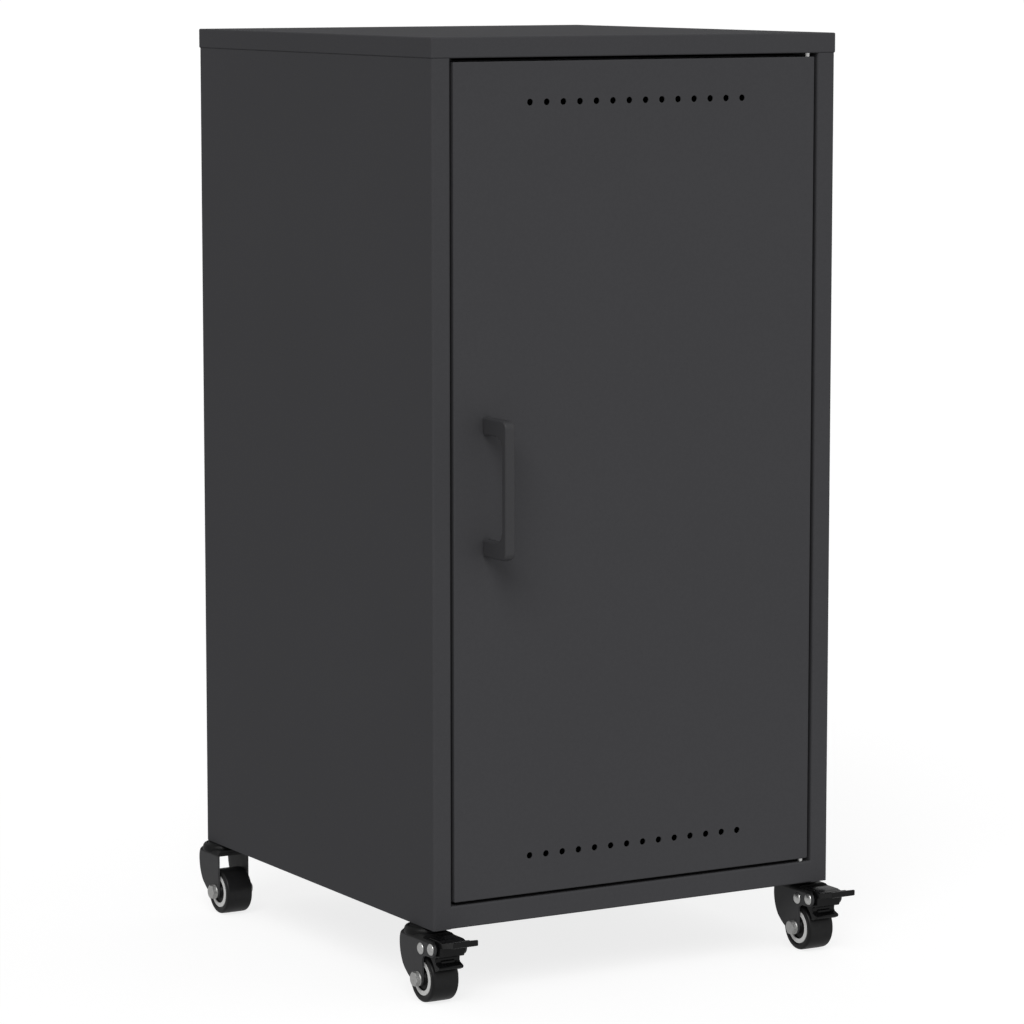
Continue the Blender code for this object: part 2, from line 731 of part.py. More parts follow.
def fork_outline(braked):
    """Side view (y, z) of a fork leg: straight front edge, round foot about the axle, bowed back."""
    outline = scaled(FORK_BACK)
    outline += arc((-WHEEL_TRAIL, AXLE_Z), FOOT_RADIUS, *FOOT_ARC, OUTLINE_STEPS)
    if braked:
        outline += scaled(FORK_EAR_BOTTOM)
        outline += arc(PEDAL_PIVOT, EAR_RADIUS, *EAR_ARC, OUTLINE_STEPS)
        outline += scaled(FORK_EAR_TOP)
    return outline + scaled([(FORK_FRONT, FORK_FRONT_TOP)])


def fork_cutters(name, braked):
    leg = prism(name + "_outline", fork_outline(braked), 2 * FORK_HALF, Vector())
    holes = [Vector((0, -WHEEL_TRAIL, AXLE_Z))]
    axle = rods(name + "_axle_hole", holes, BORE_RADIUS, 4 * FORK_HALF, (1, 0, 0))
    top = [Vector((0, 0, FORK_TOP))]
    kingpin = rods(name + "_kingpin_hole", top, KINGPIN_HOLE, 4 * FORK_GAUGE, (0, 0, 1))
    return leg, axle, kingpin


def build_fork_shape(braked):
    """One fork at the origin: a U-shaped strip, trimmed to the leg outline and drilled."""
    name = "braked_fork" if braked else "plain_fork"
    half = FORK_HALF
    bm = bmesh.new()
    corners = ((-half, -FORK_DEPTH), (-half, FORK_TOP), (half, FORK_TOP), (half, -FORK_DEPTH))
    verts = [bm.verts.new((x, FORK_START, z)) for x, z in corners]
    edges = [bm.edges.new(pair) for pair in zip(verts, verts[1:])]
    swept = bmesh.ops.extrude_edge_only(bm, edges=edges)
    moved = [item for item in swept["geom"] if isinstance(item, bmesh.types.BMVert)]
    bmesh.ops.translate(bm, verts=moved, vec=(0, FORK_LENGTH, 0))
    bm.normal_update()
    bm.faces.ensure_lookup_table()
    if bm.faces[1].normal.z < 0:
        bmesh.ops.reverse_faces(bm, faces=bm.faces)
    fork = fold(add_object(name, bm, Vector(), BLACK_STEEL), FORK_BEND, FORK_GAUGE)
    leg, axle, kingpin = fork_cutters(name, braked)
    boolean(fork, leg, "INTERSECT")
    boolean(fork, axle, "DIFFERENCE")
    boolean(fork, kingpin, "DIFFERENCE")
    if braked:
        for index, point in enumerate((PEDAL_PIVOT, REAR_RIVET)):
            centre = Vector((0, *point))
            holes = rods(f"{name}_rivet_hole_{index}", [centre], RIVET_HOLE, 4 * FORK_HALF, (1, 0, 0))
            boolean(fork, holes, "DIFFERENCE")
    return bake(fork)


def copy_to(shape, name, location):
    """A part with its own mesh and material, from a shape made at the origin."""
    obj = bpy.data.objects.new(name, shape.data.copy())
    obj.location = location
    material = shape.data.materials[0].copy()
    material.name = name
    obj.data.materials[0] = material
    PARTS.objects.link(obj)
    return obj


def tread_section():
    """The tyre's section, widened so that the flats of the faceted tread reach the floor."""
    spread = 1 / math.cos(math.pi / ROUND_STEPS)
    return mirrored([(radius * spread, height) for radius, height in scaled(TYRE_SECTION)])


def hexagon(name, low, high, location, finish):
    bm = bmesh.new()
    bmesh.ops.create_cone(
        bm,
        cap_ends=True,
        segments=6,
        radius1=HEX_RADIUS,
        radius2=HEX_RADIUS,
        depth=high - low,
        matrix=Matrix.Translation((0, 0, (low + high) / 2)),
    )
    return along_x(add_object(name, bm, location, finish))


def build_axle(corner, location):
    """A hex bolt with its head on the left and a nut on the right."""
    seat = FORK_HALF + GAP
    bolt = hexagon("axle_bolt_" + corner, -AXLE_END, -seat, location, ZINC)
    shank_middle = location + Vector((GAP, 0, 0))
    shank = rods("shank_" + corner, [shank_middle], AXLE_RADIUS, 2 * AXLE_END - 4 * GAP, (1, 0, 0))
    boolean(bolt, shank, "UNION")
    nut = hexagon("axle_nut_" + corner, seat, AXLE_END, location, ZINC)
    bore = rods("nut_bore_" + corner, [location], BORE_RADIUS, 4 * AXLE_END, (1, 0, 0))
    boolean(nut, bore, "DIFFERENCE")


def build_mount(corner, x, y, side):
    """A plate on the floor panel's hem with the threaded socket for the stem."""
    across = sorted((x + side * PLATE_OUTER, x - side * PLATE_INNER))
    low = (across[0], y - PLATE_HALF, PLATE_BOTTOM)
    high = (across[1], y + PLATE_HALF, PLATE_BOTTOM + PLATE_THICKNESS)
    plate = box("caster_mount_" + corner, low, high, ZINC)
    height = BOSS_TOP - PLATE_BOTTOM - PLATE_THICKNESS / 2
    middle = world(x, y, BOSS_TOP - height / 2)
    socket = rods("socket_" + corner, [middle], SOCKET_RADIUS, height, (0, 0, 1))
    boolean(plate, socket, "UNION")
    bore = rods("socket_bore_" + corner, [middle], STEM_HOLE, 2 * BOSS_TOP, (0, 0, 1))
    boolean(plate, bore, "DIFFERENCE")


def build_caster(corner, fork_shape):
    x, y, side = CORNERS[corner]
    swivel = world(x, y, 0)
    axle = swivel + Vector((0, -WHEEL_TRAIL, AXLE_Z))
    build_mount(corner, x, y, side)
    turned("caster_stem_" + corner, scaled(STEM_SECTION), swivel, BLACK_STEEL, STEM_STEPS)
    copy_to(fork_shape, "fork_" + corner, swivel)
    core = mirrored(scaled(CORE_SECTION))
    along_x(turned("tyre_" + corner, tread_section(), axle, TYRE, ROUND_STEPS, closed=True))
    along_x(turned("wheel_core_" + corner, core, axle, PALE_PLASTIC, ROUND_STEPS, closed=True))
    build_axle(corner, axle)


def pedal_outline():
    """Side view (y, z) of the brake rocker: tongue, housing, release lip and shoe."""
    shoe = arc((-WHEEL_TRAIL, AXLE_Z), SHOE_RADIUS, *SHOE_ARC, OUTLINE_STEPS)
    return scaled(PEDAL_TONGUE + PEDAL_HOUSING + PEDAL_LIP) + shoe + scaled(PEDAL_BACK)


def build_brake(corner):
    """The rocker turns on the front rivet. The rear rivet ties the fork's legs together."""
    x, y, _ = CORNERS[corner]
    pivot = world(x, y, 0) + Vector((0, *PEDAL_PIVOT))
    outline = [(y - PEDAL_PIVOT[0], z - PEDAL_PIVOT[1]) for y, z in pedal_outline()]
    pedal = soften(prism("brake_pedal_" + corner, outline, PEDAL_HALF, pivot, BLACK_PLASTIC), PEDAL_EDGE)
    bore = rods("pedal_bore_" + corner, [pivot], RIVET_HOLE, 4 * PEDAL_HALF, (1, 0, 0))
    boolean(pedal, bore, "DIFFERENCE")
    seat = FORK_HALF + GAP
    end = seat + RIVET_HEAD
    half = [(0, end), (RIVET_FACE_RADIUS, end), (RIVET_HEAD_RADIUS, end - RIVET_CROWN)]
    half += [(RIVET_HEAD_RADIUS, seat), (RIVET_RADIUS, seat)]
    profile = mirrored(half)
    for name, offset in (("front_rivet_", PEDAL_PIVOT), ("rear_rivet_", REAR_RIVET)):
        centre = world(x, y, 0) + Vector((0, *offset))
        along_x(turned(name + corner, profile, centre, ZINC))


def build_case():
    build_lid()
    build_side("left_side_panel", -1)
    build_side("right_side_panel", 1)
    build_back()
    build_back_screws()
    build_floor()
    build_rails()
    build_shelf()
    build_runner("shelf_runner_left", -1)
    build_runner("shelf_runner_right", 1)


def build_front():
    build_door()
    build_stiffener()
    build_pivots()
    build_handle()
    build_catch()


def build_casters():
    plain = build_fork_shape(False)
    braked = build_fork_shape(True)
    for corner in CORNERS:
        build_caster(corner, braked if corner in BRAKED else plain)
    for corner in BRAKED:
        build_brake(corner)
    for shape in (plain, braked):
        bpy.data.objects.remove(shape)


build_case()
build_front()
build_casters()
for part in list(PARTS.objects):
    bake(part)
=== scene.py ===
"""Looks of the rolling pedestal cabinet.

Fine sheet-metal meshes, casters and hardware, with procedural finishes. Objects are in metres in
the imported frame: x to the right, y to the back, z up from the floor. Plain numbers in the case,
hardware and caster sections are millimetres, and at(), metres() and MM turn them into metres.
"""

import json
import math

import bmesh
import bpy
from mathutils import Matrix, Vector


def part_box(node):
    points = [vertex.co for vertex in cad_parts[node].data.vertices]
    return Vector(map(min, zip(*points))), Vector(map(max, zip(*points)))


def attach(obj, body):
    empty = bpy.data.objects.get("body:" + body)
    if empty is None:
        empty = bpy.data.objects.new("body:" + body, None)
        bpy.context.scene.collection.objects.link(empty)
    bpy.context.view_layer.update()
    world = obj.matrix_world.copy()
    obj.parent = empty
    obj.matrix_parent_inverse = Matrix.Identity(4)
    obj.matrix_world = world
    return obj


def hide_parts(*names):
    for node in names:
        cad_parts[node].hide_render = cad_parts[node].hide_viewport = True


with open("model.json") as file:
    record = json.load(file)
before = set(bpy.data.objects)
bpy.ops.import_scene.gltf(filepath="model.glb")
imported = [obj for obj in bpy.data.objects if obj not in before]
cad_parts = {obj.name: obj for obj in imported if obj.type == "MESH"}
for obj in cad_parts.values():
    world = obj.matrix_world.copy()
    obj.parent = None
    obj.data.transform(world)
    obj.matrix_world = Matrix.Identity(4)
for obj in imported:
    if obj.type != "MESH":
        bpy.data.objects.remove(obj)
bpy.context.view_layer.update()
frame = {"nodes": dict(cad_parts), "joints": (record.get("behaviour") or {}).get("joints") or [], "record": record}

MM = 0.001
SHARP = math.radians(32)
CUT_SHARP = math.radians(50)
ROUND = 64
SMALL_ROUND = 40
VENT_ROUND = 32
COARSE_ROUND = 24
WHEEL_ROUND = 96
CORNERS = ("front_left", "front_right", "rear_left", "rear_right")
BRAKED = ("front_left", "front_right")

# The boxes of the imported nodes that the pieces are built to
LID_LOW, LID_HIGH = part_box("top_panel")
LEFT_LOW, LEFT_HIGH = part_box("left_side_panel")
RIGHT_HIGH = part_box("right_side_panel")[1]
DOOR_LOW, DOOR_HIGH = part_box("door_panel")
HANDLE_LOW, HANDLE_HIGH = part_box("handle")
GAUGE = 1.0 * MM
BEND_STEPS = 8
ON_AXIS = 1e-7
UP = Vector((0, 0, 1))


# ---------------------------------------------------------------- materials

COAT_COLOR = (0.068, 0.068, 0.0722)
HANDLE_COLOR = (0.053, 0.053, 0.0562)
STEEL_COLOR = (0.055, 0.055, 0.057)
ZINC_COLOR = (0.80, 0.80, 0.79)
DULL_ZINC_COLOR = (0.66, 0.66, 0.65)
NYLON_COLOR = (0.80, 0.80, 0.79)
TREAD_COLOR = (0.0095, 0.0095, 0.010)
MOULDING_COLOR = (0.0065, 0.0065, 0.0068)
PEDAL_COLOR = (0.0050, 0.0050, 0.0054)
RUBBED_STEEL = 0.41
# Heights over the floor across which the fork's colour fades into painted shade under the case
PAINTED_SHADE_LOW = 52.6 * MM
PAINTED_SHADE_HIGH = 54.0 * MM


class Finish:
    """A Principled material with its node tree close at hand."""

    def __init__(self, name, color, roughness, metallic=0.0, specular=0.5):
        self.material = bpy.data.materials.new(name)
        self.material.use_nodes = True
        self.tree = self.material.node_tree
        self.shader = self.tree.nodes["Principled BSDF"]
        self.color = color
        inputs = self.shader.inputs
        inputs["Base Color"].default_value = (*color, 1.0)
        inputs["Roughness"].default_value = roughness
        inputs["Metallic"].default_value = metallic
        inputs["Specular IOR Level"].default_value = specular
        self.coords = self.tree.nodes.new("ShaderNodeTexCoord").outputs["Object"]
        self.normal = None

    def node(self, kind, **settings):
        made = self.tree.nodes.new(kind)
        for key, value in settings.items():
            setattr(made, key, value)
        return made

    def link(self, source, target):
        self.tree.links.new(source, target)

    def noise(self, scale, detail=2.0, rough=0.5):
        """A noise value over the surface, at a scale in cells per metre."""
        texture = self.node("ShaderNodeTexNoise")
        texture.inputs["Scale"].default_value = scale
        texture.inputs["Detail"].default_value = detail
        texture.inputs["Roughness"].default_value = rough
        self.link(self.coords, texture.inputs["Vector"])
        return texture.outputs["Fac"]

    def height(self):
        """How high the point is over the floor at rest."""
        place = self.node("ShaderNodeSeparateXYZ")
        self.link(self.coords, place.inputs["Vector"])
        return place.outputs["Z"]

    def ranged(self, value, low, high, start=0.3, end=0.7):
        """The value between start and end, spread over low to high."""
        spread = self.node("ShaderNodeMapRange")
        spread.inputs["From Min"].default_value = start
        spread.inputs["From Max"].default_value = end
        spread.inputs["To Min"].default_value = low
        spread.inputs["To Max"].default_value = high
        self.link(value, spread.inputs["Value"])
        return spread.outputs["Result"]

    def math(self, operation, first, second):
        """A Math node on two numbers or values."""
        step = self.node("ShaderNodeMath", operation=operation)
        for socket, value in zip(step.inputs, (first, second)):
            if isinstance(value, (int, float)):
                socket.default_value = value
            else:
                self.link(value, socket)
        return step.outputs[0]

    def shade(self, factor):
        """Multiplies the base colour by a factor."""
        mix = self.node("ShaderNodeVectorMath", operation="SCALE")
        mix.inputs[0].default_value = self.color
        self.link(factor, mix.inputs["Scale"])
        self.link(mix.outputs["Vector"], self.shader.inputs["Base Color"])

    def gloss(self, value):
        """Drives the roughness by a value."""
        self.link(value, self.shader.inputs["Roughness"])

    def bump(self, height, depth, strength=1.0):
        """Adds a bump of a depth in metres to what is already there."""
        step = self.node("ShaderNodeBump")
        step.inputs["Distance"].default_value = depth
        step.inputs["Strength"].default_value = strength
        self.link(height, step.inputs["Height"])
        if self.normal is not None:
            self.link(self.normal, step.inputs["Normal"])
        self.normal = step.outputs["Normal"]
        self.link(self.normal, self.shader.inputs["Normal"])

    def edges(self, radius):
        """About 0 on flats, rising to 1 on edges tighter than the radius."""
        rounded = self.node("ShaderNodeBevel", samples=4)
        rounded.inputs["Radius"].default_value = radius
        flat = self.node("ShaderNodeNewGeometry")
        dot = self.node("ShaderNodeVectorMath", operation="DOT_PRODUCT")
        self.link(rounded.outputs["Normal"], dot.inputs[0])
        self.link(flat.outputs["Normal"], dot.inputs[1])
        return self.ranged(dot.outputs["Value"], 1.0, 0.0, 0.8, 0.99)


def powder_coat(name, color, specular, roughness):
    """Satin anthracite powder coat: orange peel, faint cloudiness, a thinner film along edges."""
    coat = Finish(name, color, roughness, specular=specular)
    cloud = coat.noise(5.0, 3.0, 0.5)
    film = coat.ranged(coat.noise(420.0, 2.0), 0.975, 1.025)
    tone = coat.math("MULTIPLY", coat.ranged(cloud, 0.985, 1.015), film)
    scuffs = coat.ranged(coat.noise(90.0, 3.0), 0.02, 0.14)
    coat.shade(coat.math("ADD", tone, coat.math("MULTIPLY", coat.edges(1.2 * MM), scuffs)))
    rub = coat.ranged(coat.noise(24.0, 4.0, 0.6), roughness - 0.012, roughness + 0.012)
    coat.gloss(coat.math("ADD", rub, coat.ranged(film, -0.01, 0.01, 0.97, 1.03)))
    coat.bump(coat.noise(330.0, 2.0, 0.5), 0.020 * MM, 0.5)
    coat.bump(coat.noise(1500.0, 1.0), 0.006 * MM, 0.5)
    return coat.material


def black_steel(name, painted_shade_tone):
    """Satin black e-coat on pressed steel, a little brighter where it rubs.

    Over a caster's shoulder, close under the case, its colour is darkened by a factor: painted shade for the
    shadow the case casts there.
    """
    coat = Finish(name, STEEL_COLOR, 0.42, specular=0.14)
    scuffs = coat.ranged(coat.noise(260.0, 3.0), 0.1, 0.9)
    worn = coat.math("MULTIPLY", coat.edges(0.6 * MM), scuffs)
    rubbed = coat.math("ADD", coat.math("MULTIPLY", worn, RUBBED_STEEL), 1.0)
    # painted shade: the colour darkens over the caster's shoulder, where the case's shadow falls
    shoulder = coat.ranged(coat.height(), 1.0, painted_shade_tone, PAINTED_SHADE_LOW, PAINTED_SHADE_HIGH)
    coat.shade(coat.math("MULTIPLY", rubbed, shoulder))
    coat.gloss(coat.ranged(coat.noise(120.0, 4.0, 0.6), 0.37, 0.48))
    coat.bump(coat.noise(700.0, 3.0), 0.010 * MM, 0.6)
    return coat.material


def zinc(name, color, roughness):
    """Zinc plate: slightly mottled and scuffed metal."""
    plate = Finish(name, color, roughness, metallic=1.0)
    plate.shade(plate.ranged(plate.noise(450.0, 4.0, 0.6), 0.84, 1.05))
    mottle = plate.noise(900.0, 3.0, 0.65)
    plate.gloss(plate.ranged(mottle, roughness - 0.06, roughness + 0.10))
    plate.bump(plate.noise(1600.0, 2.0), 0.006 * MM, 0.5)
    return plate.material


def tyre_rubber():
    """Black moulded tread, satin and faintly mottled."""
    rubber = Finish("tyre_rubber", TREAD_COLOR, 0.36, specular=0.25)
    rubber.shade(rubber.ranged(rubber.noise(300.0, 4.0, 0.6), 0.85, 1.2))
    rubber.gloss(rubber.ranged(rubber.noise(160.0, 4.0, 0.6), 0.32, 0.44))
    rubber.bump(rubber.noise(1300.0, 2.0), 0.010 * MM, 0.6)
    return rubber.material


def pale_plastic():
    """Light grey moulded nylon."""
    nylon = Finish("pale_plastic", NYLON_COLOR, 0.42, specular=0.4)
    nylon.shade(nylon.ranged(nylon.noise(140.0, 3.0), 0.95, 1.03))
    nylon.gloss(nylon.ranged(nylon.noise(220.0, 3.0), 0.38, 0.48))
    nylon.bump(nylon.noise(1100.0, 2.0), 0.008 * MM, 0.5)
    return nylon.material


def pedal_black():
    """Glossy black moulded pedal with a trace of flow in the surface."""
    pedal = Finish("pedal_black", PEDAL_COLOR, 0.20, specular=0.22)
    pedal.shade(pedal.ranged(pedal.noise(200.0, 3.0), 0.85, 1.2))
    pedal.gloss(pedal.ranged(pedal.noise(180.0, 4.0, 0.6), 0.19, 0.30))
    pedal.bump(pedal.noise(260.0, 2.0), 0.008 * MM, 0.5)
    return pedal.material


def black_plastic():
    """Satin spark-textured moulding."""
    satin = Finish("black_plastic", MOULDING_COLOR, 0.42, specular=0.2)
    satin.shade(satin.ranged(satin.noise(200.0, 3.0), 0.9, 1.15))
    satin.gloss(satin.ranged(satin.noise(300.0, 3.0), 0.38, 0.50))
    satin.bump(satin.noise(1800.0, 2.0), 0.02 * MM, 0.7)
    return satin.material


FINISHES = {
    "powder_coat": powder_coat("powder_coat", COAT_COLOR, 0.010, 0.54),
    "handle_coat": powder_coat("handle_coat", HANDLE_COLOR, 0.20, 0.38),
    "black_steel": black_steel("black_steel", 1.0),
    # The fork's steel, with painted shade over its shoulder under the case
    "fork_steel_painted_shade": black_steel("fork_steel_painted_shade", 0.2),
    "zinc": zinc("zinc_plate", ZINC_COLOR, 0.32),
    "dull_zinc": zinc("dull_zinc", DULL_ZINC_COLOR, 0.46),
    "tyre_rubber": tyre_rubber(),
    "pale_plastic": pale_plastic(),
    "pedal_black": pedal_black(),
    "black_plastic": black_plastic(),
}


# ---------------------------------------------------------------- mesh tools


def new_object(name, bm):
    """Turns a bmesh into an object in the scene."""
    bm.normal_update()
    mesh = bpy.data.meshes.new(name)
    bm.to_mesh(mesh)
    bm.free()
    obj = bpy.data.objects.new(name, mesh)
    bpy.context.scene.collection.objects.link(obj)
    return obj


def cutter(name, bm):
    """A tool for a Boolean, which doesn't render."""
    obj = new_object(name, bm)
    obj.hide_render = True
    return obj


def modifier(obj, kind, **settings):
    """Adds a modifier with these settings."""
    step = obj.modifiers.new(kind.lower(), kind)
    for key, value in settings.items():
        setattr(step, key, value)
    return step


def rounded(obj, radius, segments=3, angle=SHARP):
    """Rounds the edges that are sharper than the angle."""
    modifier(
        obj,
        "BEVEL",
        width=radius,
        segments=segments,
        limit_method="ANGLE",
        angle_limit=angle,
        harden_normals=False,
    )
    return obj


def combine(obj, other, operation):
    """Adds an exact Boolean with a tool."""
    modifier(obj, "BOOLEAN", object=other, operation=operation, solver="EXACT")
    return obj


def apply_modifiers(obj):
    """Swaps the mesh for what its modifiers make of it."""
    graph = bpy.context.evaluated_depsgraph_get()
    mesh = bpy.data.meshes.new_from_object(obj.evaluated_get(graph))
    obj.modifiers.clear()
    obj.data = mesh
    return obj


def bake(obj, sharp=SHARP):
    """Applies the modifiers, and shades smooth between sharp edges."""
    apply_modifiers(obj)
    obj.data.shade_smooth()
    obj.data.set_sharp_from_angle(angle=sharp)
    return obj


def discard(*objects):
    """Removes tools and templates that are done with."""
    for obj in objects:
        bpy.data.objects.remove(obj)


def piece(obj, body, slot, *nodes, finish=None):
    """Gives a finished mesh its finish, its body and the CAD nodes that it stands for."""
    obj.data.materials.clear()
    obj.data.materials.append(FINISHES[finish or slot])
    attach(obj, body)
    if nodes:
        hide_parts(*nodes)
    return obj


def settled(obj, sharp=SHARP):
    """bake() with weighted normals, for sheet metal."""
    bake(obj, sharp)
    modifier(obj, "WEIGHTED_NORMAL", keep_sharp=True, weight=80, mode="FACE_AREA")
    return apply_modifiers(obj)


def box_bmesh(low, high):
    """A box between two corners."""
    low, high = Vector(low), Vector(high)
    bm = bmesh.new()
    bmesh.ops.create_cube(bm, size=1.0)
    bmesh.ops.scale(bm, vec=high - low, verts=bm.verts)
    bmesh.ops.translate(bm, vec=(low + high) / 2, verts=bm.verts)
    bm.normal_update()
    return bm


def tray(name, low, high, open_side, hem):
    """A box-shaped sheet shell, open on one side, with a hem folded in around the opening."""
    bm = box_bmesh(low, high)
    side = Vector(open_side)
    opening = [face for face in bm.faces if face.normal.dot(side) > 0.9]
    bmesh.ops.inset_region(bm, faces=opening, thickness=hem)
    bmesh.ops.delete(bm, geom=opening, context="FACES")
    return new_object(name, bm)


def ribbon(name, path, sweep, outward):
    """A strip swept along a vector from a path of points, its first face turned outward."""
    bm = bmesh.new()
    verts = [bm.verts.new(point) for point in path]
    edges = [bm.edges.new(pair) for pair in zip(verts, verts[1:])]
    swept = bmesh.ops.extrude_edge_only(bm, edges=edges)
    moved = [item for item in swept["geom"] if isinstance(item, bmesh.types.BMVert)]
    bmesh.ops.translate(bm, verts=moved, vec=Vector(sweep))
    bm.normal_update()
    middle = (verts[0].co + verts[1].co + Vector(sweep)) / 2
    first = min(bm.faces, key=lambda face: (face.calc_center_median() - middle).length)
    if first.normal.dot(Vector(outward)) < 0:
        bmesh.ops.reverse_faces(bm, faces=bm.faces)
    return new_object(name, bm)


def folded(obj, radius):
    """Rounds a shell's bends and gives it its sheet thickness inwards."""
    rounded(obj, radius, BEND_STEPS)
    modifier(obj, "SOLIDIFY", thickness=GAUGE, offset=-1.0, use_even_offset=True)
    return obj


def turned_to(direction):
    """The turn that points z along a direction."""
    return UP.rotation_difference(Vector(direction)).to_matrix().to_4x4()


def add_rod(bm, radius, length, steps, place):
    """Adds a capped rod about z, centred on its place."""
    bmesh.ops.create_cone(
        bm,
        cap_ends=True,
        segments=steps,
        radius1=radius,
        radius2=radius,
        depth=length,
        matrix=place,
    )


def rods(name, centres, radius, length, axis, steps=SMALL_ROUND):
    """A cutter of rods through the centres, all along one axis."""
    bm = bmesh.new()
    for centre in centres:
        add_rod(bm, radius, length, steps, Matrix.Translation(centre) @ turned_to(axis))
    return cutter(name, bm)


def arc(centre, radius, start, end, steps):
    """Points round a centre, from one angle in degrees to another."""
    points = []
    for step in range(steps + 1):
        angle = math.radians(start + (end - start) * step / steps)
        points.append((centre[0] + radius * math.cos(angle), centre[1] + radius * math.sin(angle)))
    return points


def smooth_path(points, steps=6):
    """A Catmull-Rom curve through the points."""
    ends = [Vector(point) for point in (points[0], *points, points[-1])]
    curve = []
    for a, b, c, d in zip(ends, ends[1:], ends[2:], ends[3:]):
        slope = c - a
        bend = 2 * a - 5 * b + 4 * c - d
        twist = 3 * b - a - 3 * c + d
        for step in range(steps):
            t = step / steps
            point = b + (slope * t + bend * t**2 + twist * t**3) / 2
            curve.append(tuple(point))
    return [*curve, points[-1]]


def prism_bmesh(outline, x_low, x_high):
    """A closed (y, z) outline carried from one x to another."""
    bm = bmesh.new()
    verts = [bm.verts.new((x_low, y, z)) for y, z in outline]
    edges = [bm.edges.new(pair) for pair in zip(verts, verts[1:] + verts[:1])]
    face = bmesh.ops.contextual_create(bm, geom=edges)["faces"]
    swept = bmesh.ops.extrude_face_region(bm, geom=face)
    moved = [item for item in swept["geom"] if isinstance(item, bmesh.types.BMVert)]
    bmesh.ops.translate(bm, verts=moved, vec=(x_high - x_low, 0, 0))
    bmesh.ops.recalc_face_normals(bm, faces=bm.faces)
    return bm


def lathe_bmesh(profile, steps=ROUND, closed=False):
    """A (radius, height) profile turned about z. Points on the axis become one vertex."""
    bm = bmesh.new()
    rings = []
    for radius, height in profile:
        if radius < ON_AXIS:
            rings.append([bm.verts.new((0, 0, height))])
            continue
        ring = []
        for step in range(steps):
            angle = 2 * math.pi * step / steps
            place = (radius * math.cos(angle), radius * math.sin(angle), height)
            ring.append(bm.verts.new(place))
        rings.append(ring)
    pairs = list(zip(rings, rings[1:]))
    if closed:
        pairs.append((rings[-1], rings[0]))
    for upper, lower in pairs:
        for step in range(steps):
            corners = [
                upper[step % len(upper)],
                lower[step % len(lower)],
                lower[(step + 1) % len(lower)],
                upper[(step + 1) % len(upper)],
            ]
            unique = list(dict.fromkeys(corners))
            if len(unique) > 2:
                bm.faces.new(unique)
    bmesh.ops.recalc_face_normals(bm, faces=bm.faces)
    return bm


def placed(bm, matrix):
    """The bmesh, moved into place."""
    bmesh.ops.transform(bm, matrix=matrix, verts=bm.verts)
    return bm


def lathed(name, profile, place, steps=ROUND, closed=False):
    """A finished turned shape, moved into place."""
    return bake(new_object(name, placed(lathe_bmesh(profile, steps, closed), place)))


def metres(points):
    """Pairs of millimetres, in metres."""
    return [(first * MM, second * MM) for first, second in points]


def mirrored(half):
    """A whole profile in metres from its upper half in millimetres."""
    return metres(half + [(radius, -height) for radius, height in reversed(half)])


# ---------------------------------------------------------------- case

# All in millimetres, and from the case's front left bottom corner where they are places
ORIGIN = LEFT_LOW.copy()
CASE_WIDTH = (RIGHT_HIGH.x - LEFT_LOW.x) / MM
CASE_DEPTH = (LEFT_HIGH.y - LEFT_LOW.y) / MM
LID_SEAM = 0.03
LID_HEM = 12
LID_BEND = 1.2
PANEL_HEIGHT = (LID_LOW.z - LEFT_LOW.z) / MM - LID_SEAM
SIDE_BEND = 2.0
STILE = 17.0
STILE_RETURN = 18.0
STOP_EDGE = 29.0
REAR_FLANGE = 13.0
TOP_FLANGE_X = (0.5, 13.5)
TOP_FLANGE_Y = (22, 408)
TOP_FLANGE_DROP = 0.2
TOP_FLANGE_GAUGE = 1
BACK_SCREW_EDGE = 6.5
BACK_SCREW_ROWS = (90.0, 641.0)
BACK_SCREW_HOLE = 1.9
BACK_DRILL = 18
RAIL_HEIGHT = 18.9
RAIL_RETURN = 15.8
RAIL_BEND = 1.5
RAIL_GAP = 0.3
WELD_START = 14.8
WELD_LAP = 0.05
WELD_DEPTH = 3.0
WELD_INSET = 0.01
PIVOT = (364.8, 4.8)
PIN_HOLE = 2.8
SHEET_DRILL = 6
DOOR_HEM = 20
DOOR_BEND = 1.0
VENT_ROWS = (54.1, 677.8)
VENTS = 14
VENT_FIRST = 91.3
VENT_PITCH = 15.8
VENT_RADIUS = 2.8
HANDLE_X = 50.8
HANDLE_SCREW_ROWS = (365.5 - 48, 365.5 + 48)
HANDLE_SCREW_HOLE = 2.3
REARWARD = (0, 1, 0)


def at(x, y, z):
    """A point given in millimetres from the case's front left bottom corner."""
    return ORIGIN + Vector((x, y, z)) * MM


def pivot_cutter(name, z):
    """The drill for a pivot hole through sheet at this height."""
    return rods(name, [at(*PIVOT, z)], PIN_HOLE * MM, SHEET_DRILL * MM, UP)


def build_lid():
    """The lid, a tray turned down over the sides, with the upper pivot hole."""
    shell = tray("lid", LID_LOW, LID_HIGH, (0, 0, -1), LID_HEM * MM)
    lid = folded(shell, LID_BEND * MM)
    hole = pivot_cutter("lid_hole", (LID_LOW.z - ORIGIN.z) / MM)
    settled(combine(lid, hole, "DIFFERENCE"))
    discard(hole)
    piece(lid, "cabinet", "powder_coat", "top_panel")


def back_screw_points():
    """The screw points on the rear flanges: left then right, lower then upper."""
    points = []
    for x in (BACK_SCREW_EDGE, CASE_WIDTH - BACK_SCREW_EDGE):
        for z in BACK_SCREW_ROWS:
            points.append(at(x, CASE_DEPTH, z))
    return points


